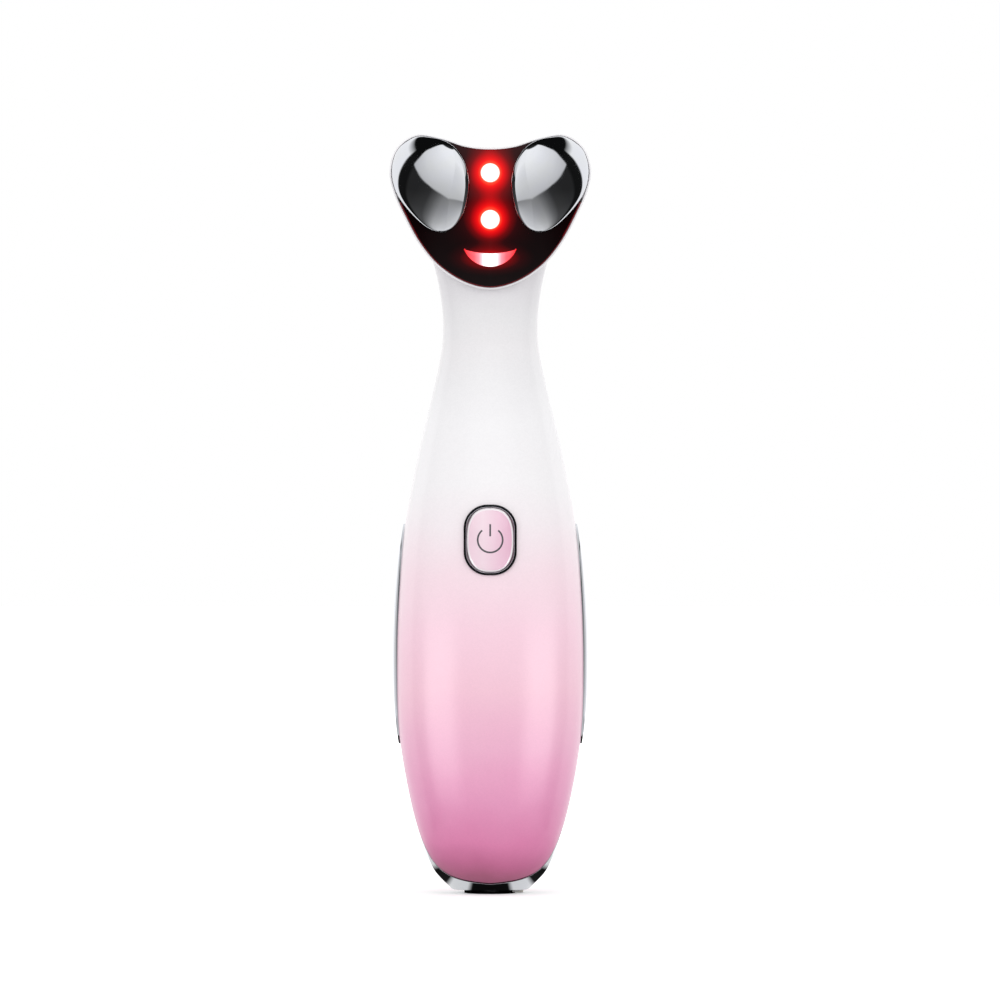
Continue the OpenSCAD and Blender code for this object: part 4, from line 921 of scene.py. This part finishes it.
# %% [markdown]
# ## Chrome plating
# Polished ABS or brass, plated with a few thousandths of a millimetre of chromium. It is a mirror with a
# very slight haze, and a faint unevenness left by polishing bends the reflections a little, as on any real
# plating. The button's ring is black chrome, but its inner bevel is polished bright: those faces get a
# second material.

# %% Make the chromes
HAZE_MM, WAVE_MM, WAVE_DEPTH_MM = 3.0, 5.0, 0.0015


def plated(name, dark, light, rough):
    """A mirror with a slight haze and long, very shallow waves."""
    material, tree, place = new_finish(name)
    haze = add(tree, "TexNoise", {"Vector": place, "Scale": per_mm(HAZE_MM), "Detail": LUMP_DETAIL})
    wave = add(tree, "TexNoise", {"Vector": place, "Scale": per_mm(WAVE_MM), "Detail": 1.0})
    close_finish(tree, {
        "Base Color": add(tree, "ValToRGB", {0: haze}, [(0.35, dark), (0.65, light)]), "Metallic": 1.0,
        "Roughness": add(tree, "MapRange", {0: haze, 1: 0.3, 2: 0.7, 3: rough * 0.8, 4: rough * 1.25}),
        "Normal": add(tree, "Bump", {"Height": wave, "Distance": WAVE_DEPTH_MM * MM, "Strength": 1.0})})
    return material


bright_chrome = plated("polished chrome plate", "#d9dbde", "#d9dbe1", 0.05)
strip_chrome = plated("chrome plate on the side strips", "#d3d5d9", "#d3d5dc", 0.07)
black_chrome = plated("black chrome plate", "#1b1c1f", "#1b1c22", 0.12)
dress((*pads.values(), tail), bright_chrome)
dress(strips.values(), strip_chrome)
dress((bezel,), black_chrome)
bezel.data.materials.append(bright_chrome)
BEVEL_INWARD = 0.6
for face in bezel.data.polygons:
    x, z = face.center.x, face.center.z - BUTTON_Z * MM
    inward = -(face.normal.x * x + face.normal.z * z) / math.hypot(x, z)
    face.material_index = int(inward > BEVEL_INWARD)
print("Bright faces on the button's ring:", sum(face.material_index for face in bezel.data.polygons))

# %% [markdown]
# ## Button, ink and cover
# The button is a pink moulding under a clear coat. Its pink is painted a little lighter just left of the
# middle and darker towards its right, as painted shading, and its rim is painted near white as a painted
# highlight. Its sign is pad-printed ink. The port cover is matt silicone: light goes a little way in, which
# softens its edges, and its fine grit keeps it matt.

# %% Paint the button and its sign
button_paint, tree, place = new_finish("pink button moulding under clear coat")
# The ramp across the button is painted shading: lighter left of the middle, darker to the right
across = add(tree, "SeparateXYZ", {0: place}).outputs["X"]
across = add(tree, "MapRange", {0: across, 1: -5 * MM, 2: 5 * MM})
peel = add(tree, "TexNoise", {"Vector": place, "Scale": per_mm(1.2), "Detail": LUMP_DETAIL})
close_finish(tree, {
    "Base Color": add(tree, "ValToRGB", {0: across},
                      [(0.0, "#f3d3e1"), (0.35, "#f5dce7"), (0.7, "#f0c8db"), (1.0, "#eab6cf")]),
    "Roughness": 0.3, "Coat Weight": 1.0, "Coat Roughness": 0.04, "Coat IOR": 1.5,
    "Coat Normal": add(tree, "Bump", {"Height": peel, "Distance": 0.003 * MM, "Strength": 1.0})})
dress((cap,), button_paint)
cap.data.materials.append(mottled("polished rim of the button", "#fbf3f7", "#fdf6f9", 1.2,
                                  {"Roughness": 0.2, "Coat Weight": 1.0}, edge=0.3))
# Steep faces round the cap's edge get the near-white finish, a painted highlight
RIM_STEEP, RIM_FLAT = -0.05, -0.955
for face in cap.data.polygons:
    face.material_index = int(RIM_FLAT < face.normal.y < RIM_STEEP)
ink = mottled("grey pad-printed ink", "#4c484e", "#5a565c", 0.3, {"Roughness": 0.4}, edge=0.3)
dress((sign, sign_bar), ink)

# %% Give the cover its silicone
silicone = mottled("matt cream silicone", "#e9e5d9", "#efebe1", 2.0,
                   {"Roughness": 0.55, "Subsurface Weight": 0.25, "Subsurface Scale": 1 * MM,
                    "Subsurface Radius": (1.0, 0.85, 0.6)}, depth_mm=0.004, grit_mm=0.08, edge=0.3)
dress((cover,), silicone)
print("Small finishes:", button_paint.name, ink.name, silicone.name)

# %% [markdown]
# ## The glowing window
# The window is red polycarbonate so dark that it looks black where no lamp is near. Round each lamp the
# plastic glows: bright red at the lens, and dark red a few millimetres out. The glow is painted light, an
# emission drawn by distance from each lamp, as light fades in a dyed plastic, with a weak one down the
# middle and a wide one round the crescent. It could be left to real light in a clear volume, but that is
# slow, noisy, and lost in the exported model.

# %% Make the window's plastic
LAMP_FADE, MIDDLE_FADE, CRESCENT_FADE, CRESCENT_GLOW = (1.6, 7.2), (0.5, 9.5), (1.2, 4), 0.62
CHIN_UP, BROW_UP, BROW_GLOW, CRESCENT_SQUASH = 8, 14, 0.3, 0.42


def fading(tree, distance, fade, bend, full=1):
    """A glow by distance: full up to the first length of fade in millimetres, and gone at the second."""
    near = add(tree, "MapRange", {0: distance, 1: fade[0] * MM, 2: fade[1] * MM, 3: full, 4: 0})
    return add(tree, "Math", {0: near, 1: bend}, operation="POWER")


lamps = [(0, float(window_front(0, HEAD_TIP + up)) * MM, (HEAD_TIP + up) * MM) for up in LIGHT_UPS]
crescent_at = (0, smile_y * MM, (HEAD_TIP + SMILE_UP - SMILE_DROP / 2) * MM)
window_red, tree, place = new_finish("dark red polished polycarbonate")
glows = []
for lamp in lamps:
    away = add(tree, "VectorMath", {0: place, 1: lamp}, operation="DISTANCE").outputs["Value"]
    glows.append(fading(tree, away, LAMP_FADE, 3.0))
spot = add(tree, "SeparateXYZ", {0: place})
beside = add(tree, "Math", {0: spot.outputs["X"]}, operation="ABSOLUTE")
middle = fading(tree, beside, MIDDLE_FADE, 1.4)
zone = add(tree, "MapRange", {0: spot.outputs["Z"], 1: (HEAD_TIP + CHIN_UP) * MM,
                              2: (HEAD_TIP + BROW_UP) * MM, 4: BROW_GLOW})
glows.append(add(tree, "Math", {0: middle, 1: zone}, operation="MULTIPLY"))
flattened = add(tree, "VectorMath", {0: place, 1: (CRESCENT_SQUASH, 1, 1)}, operation="MULTIPLY")
away = add(tree, "VectorMath", {0: flattened, 1: crescent_at}, operation="DISTANCE").outputs["Value"]
total = fading(tree, away, CRESCENT_FADE, 1.8, CRESCENT_GLOW)
for glow in glows:
    total = add(tree, "Math", {0: total, 1: glow}, operation="ADD", use_clamp=True)
lumps = add(tree, "TexNoise", {"Vector": place, "Scale": per_mm(4.0), "Detail": LUMP_DETAIL})
close_finish(tree, {
    "Base Color": add(tree, "ValToRGB", {0: lumps}, [(0.3, "#0a0102"), (0.7, "#0e0203")]),
    "Roughness": 0.06, "Specular IOR Level": 0.15, "Emission Strength": 1.0,
    "Emission Color": add(tree, "ValToRGB", {0: total}, [
        (0.0, "#000000"), (0.12, "#2a0002"), (0.3, "#740004"), (0.55, "#d00008"), (0.8, "#ff1010"),
        (1.0, "#ff4a30")])})
dress((window,), window_red)

# %% Lighten the window's lower edge
# The rounded edge in the window's lower part gets a lighter, clearer red
edge_red = mottled("thin edge of the red polycarbonate", "#5a0710", "#660a14", 4.0,
                   {"Roughness": 0.15, "Specular IOR Level": 0.15}, edge=0.3)
window.data.materials.append(edge_red)
EDGE_STEEP, EDGE_FLAT, EDGE_TOP = -0.05, -0.8, (HEAD_TIP + 18) * MM
for face in window.data.polygons:
    face.material_index = int(EDGE_FLAT < face.normal.y < EDGE_STEEP and face.center.z < EDGE_TOP)
print("Faces with the clearer red:", sum(face.material_index for face in window.data.polygons))

# %% [markdown]
# ## Lit lenses
# A lamp right behind a lens is too strong for the eye, so the lens looks white there and red only at its
# rim. Each lens glows by a ramp over the distance from the lamp: in all directions for the round ones, and
# to the sides for the crescent.


# %% Make the lit lenses
def lit_lens(name, reach, stops, strength, measure):
    """A glowing lens; measure gives the distance over which the stops run, up to reach in metres."""
    material, tree, place = new_finish(name)
    colour = add(tree, "ValToRGB", {0: add(tree, "MapRange", {0: measure(tree, place), 2: reach})}, stops)
    close_finish(tree, {"Base Color": colour, "Emission Color": colour, "Emission Strength": strength,
                        "Roughness": 0.2, "Coat Weight": 0.5})
    return material


def from_nearest_lamp(tree, place):
    """Distance from the nearer of the two lamps."""
    aways = [add(tree, "VectorMath", {0: place, 1: at}, operation="DISTANCE") for at in lamps]
    return add(tree, "Math", {k: away.outputs["Value"] for k, away in enumerate(aways)}, operation="MINIMUM")


def from_middle(tree, place):
    """Distance from the wand's middle line."""
    return add(tree, "Math", {0: add(tree, "SeparateXYZ", {0: place}).outputs["X"]}, operation="ABSOLUTE")


lit = lit_lens("red lens over a lamp", 2.2 * MM,
               [(0.0, "#ffffff"), (0.78, "#fff4f0"), (0.88, "#ff8a78"), (0.96, "#ff2618"), (1.0, "#ff1010")],
               1.1, from_nearest_lamp)
lit_smile = lit_lens("red crescent light guide", SMILE_HALF * MM,
                     [(0.0, "#ffffff"), (0.2, "#fff2f2"), (0.3, "#ffb0b6"), (0.42, "#fb7680"),
                      (0.6, "#f24a54"), (0.85, "#e62c34"), (1.0, "#b41014")], 1.0, from_middle)
dress(lenses, lit)
dress((smile,), lit_smile)
print("Lit:", lit.name, "and", lit_smile.name)

# %% [markdown]
# ## Pieces carried over from the CAD
# The port ring, the charge light's lens and everything inside keep their CAD meshes. They still get
# finishes that suit what they are, because a stranger may open the model: boards, springs, wires, foam and
# plastics. The CAD names each node's material, so a table from those names to finishes is enough.

# %% Finishes for the inner pieces
FINISHES = {
    "dark_plastic": mottled("moulded black ABS", "#232529", "#2c2f34", 0.4, {"Roughness": 0.5}, 0.006),
    "circuit_board": mottled("green solder mask on glass fibre", "#155035", "#1d6343", 0.6,
                             {"Roughness": 0.4, "Coat Weight": 0.4}, 0.01),
    "chip_black": mottled("moulded epoxy of chips", "#1b1c1e", "#242629", 0.15, {"Roughness": 0.6}, 0.008),
    "steel": mottled("nickel-plated steel", "#b4b6b9", "#c2c4c7", 0.3,
                     {"Roughness": 0.25, "Metallic": 1.0}, 0.003),
    "spring_copper": mottled("gold-flashed spring bronze", "#c58f52", "#d29d60", 0.3,
                             {"Roughness": 0.28, "Metallic": 1.0}, 0.003),
    "flat_cable": mottled("amber polyimide film", "#8a4a12", "#9c5718", 0.5,
                          {"Roughness": 0.3, "Coat Weight": 0.3}, 0.003),
    "battery_wrap": mottled("blue shrink wrap", "#2b5f92", "#346ca3", 1.5,
                            {"Roughness": 0.3, "Coat Weight": 0.4}, 0.01),
    "foam_black": mottled("black cell foam", "#141415", "#2a2a2c", 0.35, {"Roughness": 0.95}, 0.12),
    "wire_insulation": mottled("soft PVC insulation", "#8c1d18", "#a02620", 0.4, {"Roughness": 0.45}, 0.004),
    "smoked_lens": mottled("smoked red acrylic", "#24060a", "#30080d", 0.5,
                           {"Roughness": 0.1, "Coat Weight": 1.0}, 0.001),
    "chrome_plate": bright_chrome, "plated_plastic": bright_chrome, "dark_chrome": black_chrome,
    "lit_red": lit, "cream_silicone": silicone, "dark_red_window": window_red, "button_pink": button_paint,
    "pearl_white_paint": head_paint, "pearl_pink_paint": handle_paint,
}
for name, node in nodes.items():
    slot_names = [m.name for m in node.data.materials if m]
    wanted = next((s for s in FINISHES if slot_names and slot_names[0].startswith(s)), None)
    if wanted is None:
        print("No finish for", name, slot_names)
        continue
    node.data.materials.clear()
    node.data.materials.append(FINISHES[wanted])

# %% [markdown]
# ## World and floor
# The photograph is a plain product shot on white. The white comes from the world, at full strength for
# cameras, mirrors and clear materials and a little softer where it lights matt surfaces, and from a paper
# floor that glows to the camera. Near the foot it glows less, so that the foot's shadow stays. The mirrors
# of this wand see neither of them in the end, because the painted screen and the stripes further down stand
# in front.

# %% Make the world and the floor
scene = bpy.context.scene
scene.view_settings.view_transform = "Standard"
AMBIENT, GLOW_NEAR, GLOW_FAR = 0.92, 0.3, 0.8
SHADOW_IN, SHADOW_OUT, FLOOR_HALF = 0.03, 0.25, 4


def seen_by(tree, *kinds):
    """1 for the given kinds of ray, and 0 for the others."""
    path, seen = add(tree, "LightPath"), 0
    for kind in kinds:
        seen = add(tree, "Math", {0: seen, 1: path.outputs[kind]}, operation="MAXIMUM")
    return seen


scene.world = bpy.data.worlds.new("white room")
scene.world.use_nodes = True
tree = scene.world.node_tree
tree.nodes.clear()
seen = seen_by(tree, "Is Camera Ray", "Is Glossy Ray", "Is Transmission Ray")
strength = add(tree, "MapRange", {0: seen, 3: AMBIENT, 4: 1.0})
sky = add(tree, "Background", {"Color": (1, 1, 1, 1), "Strength": strength})
add(tree, "OutputWorld", {"Surface": sky})

grid = bmesh.new()
bmesh.ops.create_grid(grid, x_segments=24, y_segments=24, size=FLOOR_HALF)
floor = into_scene("pale_floor", bpy.data.meshes.new("pale_floor"))
grid.to_mesh(floor.data)
grid.free()
paper, tree, place = new_finish("white paper floor")
fibres = add(tree, "TexNoise", {"Vector": place, "Scale": per_mm(3.0), "Detail": LUMP_DETAIL})
far = add(tree, "VectorMath", {0: place}, operation="LENGTH").outputs["Value"]
brighter = add(tree, "MapRange", {0: far, 1: SHADOW_IN, 2: SHADOW_OUT, 3: GLOW_NEAR, 4: GLOW_FAR})
seen = seen_by(tree, "Is Camera Ray", "Is Glossy Ray")
close_finish(tree, {
    "Base Color": add(tree, "ValToRGB", {0: fibres}, [(0.3, "#f4f4f4"), (0.7, "#f7f7f7")]),
    "Roughness": 0.9, "Specular IOR Level": 0.1, "Emission Color": (1, 1, 1, 1),
    "Emission Strength": add(tree, "Math", {0: seen, 1: brighter}, operation="MULTIPLY")})
floor.data.materials.append(paper)
floor.visible_glossy = False

# %% [markdown]
# ## Key light
# One large round soft light in front and above gives the paint its roundness. Mirrors don't see it: what
# they see is laid out in the next steps, because a chrome piece shows its shape only by what it mirrors.

# %% Hang the key light
HEAD_AT = Vector((0, 0, 0.145))
KEY_DISTANCE, KEY_RISE, KEY_SIZE, KEY_POWER = 0.9, math.radians(32), 0.75, 1.15
lamp = bpy.data.lights.new("round key light", "AREA")
lamp.shape, lamp.size, lamp.energy = "DISK", KEY_SIZE, KEY_POWER
key = into_scene("round key light", lamp)
key.location = HEAD_AT + KEY_DISTANCE * Vector((0, -math.cos(KEY_RISE), math.sin(KEY_RISE)))
key.rotation_mode = "QUATERNION"
key.rotation_quaternion = (HEAD_AT - key.location).to_track_quat("-Z", "Y")
key.visible_glossy = False
print("Key light at", [round(c, 3) for c in key.location])

# %% [markdown]
# ## The painted screen
# Chrome has no colour of its own. In a studio, cards and cloths stand round it, and their edges give it its
# bands of dark and bright. They could be built one by one, but here a sphere round the head carries them
# all as paint, in degrees of turn from the camera and of rise above the head: a soft box above, a grey
# table that darkens to the sides, and black beside them. Cameras, matt surfaces and shadows pass through
# the sphere.


# %% Tools for what only mirrors see
def only_mirrored(thing, receivers=()):
    """Only mirrors see the thing, and its light reaches only the receivers where some are given."""
    thing.visible_camera = thing.visible_diffuse = thing.visible_shadow = False
    thing.visible_transmission = thing.visible_volume_scatter = False
    if receivers:
        linked = bpy.data.collections.new("pieces that mirror " + thing.name)
        thing.light_linking.receiver_collection = linked
        for piece in receivers:
            linked.objects.link(piece)


def close_glow(tree, sockets, see_through=False):
    """Ends a tree as a glow. See-through, mirrors also show what is behind it."""
    glow = add(tree, "Emission", sockets)
    if see_through:
        glow = add(tree, "AddShader", {0: glow, 1: add(tree, "BsdfTransparent")})
    add(tree, "OutputMaterial", {"Surface": glow})


def greys(*marks):
    """Ramp stops from pairs of a position and a grey level out of 255."""
    return [(at, "#" + 3 * f"{level:02x}") for at, level in marks]


# %% Paint the screen
SCREEN_R, STUDIO_GLOW, BLACK_CLOTH = 1.2, 1.2, "#0e0e0e"
BOX_SLANT, BOX_FOOT = 0.45, 5.0
screen_paint, tree, place = new_finish("screen painted as a studio")
unit = add(tree, "SeparateXYZ", {0: add(tree, "VectorMath", {0: place}, operation="NORMALIZE")})
aside = add(tree, "Math", {0: unit.outputs["X"]}, operation="ABSOLUTE")
ahead = add(tree, "Math", {0: unit.outputs["Y"], 1: -1.0}, operation="MULTIPLY")
turn = add(tree, "Math", {0: aside, 1: ahead}, operation="ARCTAN2")
turn = add(tree, "Math", {0: turn}, operation="DEGREES")
rise = add(tree, "Math", {0: unit.outputs["Z"]}, operation="ARCSINE")
rise = add(tree, "Math", {0: rise}, operation="DEGREES")

# The soft box: its lower edge slants up to the sides, and it ends at a turn and at a rise
box_edge = add(tree, "Math", {0: turn, 1: BOX_SLANT, 2: BOX_FOOT}, operation="MULTIPLY_ADD")
over_edge = add(tree, "Math", {0: rise, 1: box_edge}, operation="SUBTRACT")
in_box = add(tree, "MapRange", {0: over_edge, 1: -0.8, 2: 1.2})
for angle in (turn, rise):
    inside = add(tree, "MapRange", {0: angle, 1: 77, 2: 80, 3: 1, 4: 0})
    in_box = add(tree, "Math", {0: in_box, 1: inside}, operation="MULTIPLY")
box_tone = add(tree, "ValToRGB", {0: add(tree, "MapRange", {0: over_edge, 2: 60})},
               greys((0.0, 190), (0.12, 206), (0.4, 232), (0.7, 250), (1.0, 255)))

# The table in front, by rise and by turn
by_rise = add(tree, "ValToRGB", {0: add(tree, "MapRange", {0: rise, 1: -60, 2: 40})},
              greys((0.0, 220), (0.3, 204), (0.45, 182), (0.58, 154), (0.75, 124)))
slanted = add(tree, "Math", {0: rise, 1: 0.8, 2: turn}, operation="MULTIPLY_ADD")
by_turn = add(tree, "ValToRGB", {0: add(tree, "MapRange", {0: slanted, 1: -10, 2: 70})},
              greys((0.0, 255), (0.3, 230), (0.5, 165), (0.68, 105), (1.0, 88)))
table_tone = add(tree, "Mix", {0: 1.0, 6: by_rise, 7: by_turn}, data_type="RGBA", blend_type="MULTIPLY")

# Black cloth at the sides, white behind, and black again overhead
side_tone = add(tree, "ValToRGB", {0: add(tree, "MapRange", {0: turn, 1: 80, 2: 180})},
                greys((0.0, 20), (0.17, 22), (0.2, 245), (1.0, 255)))
painted = side_tone.outputs[0]
for share, tone in ((add(tree, "MapRange", {0: rise, 1: 44, 2: 50}), linear(BLACK_CLOTH)),
                    (add(tree, "MapRange", {0: turn, 1: 74, 2: 80, 3: 1, 4: 0}), table_tone.outputs[2]),
                    (in_box, box_tone)):
    painted = add(tree, "Mix", {0: share, 6: painted, 7: tone}, data_type="RGBA").outputs[2]
close_glow(tree, {"Color": painted, "Strength": STUDIO_GLOW})

ball = bmesh.new()
bmesh.ops.create_uvsphere(ball, u_segments=64, v_segments=32, radius=SCREEN_R)
screen = into_scene("painted_screen", bpy.data.meshes.new("painted_screen"))
ball.to_mesh(screen.data)
ball.free()
screen.location = HEAD_AT
screen.data.materials.append(screen_paint)
only_mirrored(screen)

# %% [markdown]
# ## The card between the pads
# The screen is far away, so each pad would mirror it in the same way from its inner to its outer side. A
# card that stands on edge between the pads is near them, and fills the inner half of each: bright above,
# grey below, along a line that slants up from the head's tip. The camera sees it edge-on, so it hides
# nothing.


# %% Stand the card
def mirrored_card(name, corners, paint, receivers=()):
    """A flat card that only mirrors see."""
    mesh = bpy.data.meshes.new(name)
    mesh.from_pydata([tuple(corner) for corner in corners], [], [(0, 1, 2, 3)])
    mesh.uv_layers.new(name="card").data.foreach_set("uv", (0, 0, 1, 0, 1, 1, 0, 1))
    card = into_scene(name, mesh)
    card.data.materials.append(paint)
    only_mirrored(card, receivers)
    return card


CARD_NEAR, CARD_OUT, CARD_LOW, CARD_HIGH = 0.019, 0.45, 0.02, 0.22
FAN_AT = (0.012, (HEAD_TIP + 16.5) * MM)
card_paint, tree, place = new_finish("card painted light above and grey below")
spot = add(tree, "SeparateXYZ", {0: place})
out = add(tree, "Math", {0: spot.outputs["Y"], 1: -1.0, 2: -FAN_AT[0]}, operation="MULTIPLY_ADD")
up = add(tree, "Math", {0: spot.outputs["Z"], 1: FAN_AT[1]}, operation="SUBTRACT")
lean = add(tree, "MapRange", {0: add(tree, "Math", {0: up, 1: out}, operation="DIVIDE"), 1: -1.5, 2: 1.5})
tone = add(tree, "ValToRGB", {0: lean}, greys((0.0, 226), (0.34, 204), (0.43, 182), (0.5, 154), (0.53, 140),
                                              (0.54, 196), (0.62, 214), (1.0, 250)))
close_glow(tree, {"Color": tone, "Strength": STUDIO_GLOW})
mirrored_card("middle_card", [(0, -CARD_NEAR, CARD_LOW), (0, -CARD_OUT, CARD_LOW), (0, -CARD_OUT, CARD_HIGH),
                              (0, -CARD_NEAR, CARD_HIGH)], card_paint)

# %% [markdown]
# ## Cards for single pieces
# A photographer may light one piece and shade its neighbour with small cards close by. Light linking does
# that here: two cards draw the soft upright highlights on the paint and the button, and two brighten the
# side strips. Each fades out towards its edges and lets mirrors see the screen behind it.

# %% Place the linked cards
HIGHLIGHT = {"turn": 49, "distance": 0.3, "width": 0.38, "low": -0.14, "high": 0.11,
             "strength": 4.3, "flat": 0.1}
STRIP_LIGHT = {"turn": 80, "distance": 0.4, "width": 0.75, "low": -0.2, "high": 0.3,
               "strength": 0.72, "flat": 0.42}
FADE_END = 0.49


def soft_card(name, receivers, side, turn, distance, width, low, high, strength, flat):
    """A glowing upright card that faces the wand; flat is the half share of its middle that doesn't fade."""
    paint, tree, place = new_finish("glowing " + name)
    on_card = add(tree, "SeparateXYZ", {0: add(tree, "TexCoord").outputs["UV"]})
    for way in ("X", "Y"):
        off = add(tree, "Math", {0: on_card.outputs[way], 1: 0.5}, operation="SUBTRACT")
        off = add(tree, "Math", {0: off}, operation="ABSOLUTE")
        fade = add(tree, "MapRange", {0: off, 1: flat, 2: FADE_END, 3: 1, 4: 0},
                   interpolation_type="SMOOTHERSTEP")
        strength = add(tree, "Math", {0: strength, 1: fade}, operation="MULTIPLY")
    close_glow(tree, {"Strength": strength}, see_through=True)
    t = math.radians(turn * side)
    middle = distance * Vector((math.sin(t), -math.cos(t), 0))
    across = width / 2 * Vector((math.cos(t), math.sin(t), 0))
    corners = [middle + across * a + Vector((0, 0, z))
               for a, z in ((-1, low), (1, low), (1, high), (-1, high))]
    mirrored_card(name, corners, paint, receivers)


for side in (-1, 1):
    soft_card("highlight_card", (front, rear, cap), side, **HIGHLIGHT)
    soft_card("strip_card", strips.values(), side, **STRIP_LIGHT)

# %% [markdown]
# ## Stripes under the foot
# The chrome cap curves in under the wand and mirrors the floor close by. Dark and bright stripes laid on a
# table give it dark bands in the middle and at the sides, with bright ones between. Only the cap sees them.
# The shells' clear coat would go dark over them, so the shells see a plain bright sheet instead.

# %% Lay the stripes
SHEET_HALF, SHEET_FRONT, SHEET_BEHIND, STRIPES_TO = 0.04, -0.032, 0.03, 0.03


def floor_sheet(name, height, paint, receivers):
    """A mirror-only sheet just under the floor's level."""
    corners = [(-SHEET_HALF, SHEET_FRONT), (SHEET_HALF, SHEET_FRONT), (SHEET_HALF, SHEET_BEHIND),
               (-SHEET_HALF, SHEET_BEHIND)]
    mirrored_card(name, [(x, y, height) for x, y in corners], paint, receivers)


stripe_paint, tree, place = new_finish("floor stripes")
across = add(tree, "MapRange", {0: from_middle(tree, place), 2: STRIPES_TO})
tone = add(tree, "ValToRGB", {0: across}, greys((0.0, 14), (0.15, 16), (0.19, 235), (0.33, 240), (0.38, 30),
                                                (0.6, 24), (0.72, 235), (1.0, 240)))
close_glow(tree, {"Color": tone})
floor_sheet("floor_stripes", -0.0005, stripe_paint, (tail,))
plain_paint, tree, place = new_finish("floor stripe fill")
close_glow(tree, {"Color": linear("#eeeeee")}, see_through=True)
floor_sheet("floor_stripe_fill", -0.0004, plain_paint, (front, rear))

# %% [markdown]
# ## Camera
# The photograph looks straight at the front from some way off, with a long lens, so the sides hardly
# converge. At 1.5 m a 264 mm lens covers 205 mm, which is what the picture's width measures at the wand.

# %% Place the camera
camera_data = bpy.data.cameras.new("product camera")
camera_data.lens, camera_data.sensor_width = 263.7, 36
camera = into_scene("product camera", camera_data)
camera.location = (0.00199, -1.5, 0.0804)
camera.rotation_euler = (math.radians(90), 0, 0)
scene.camera = camera
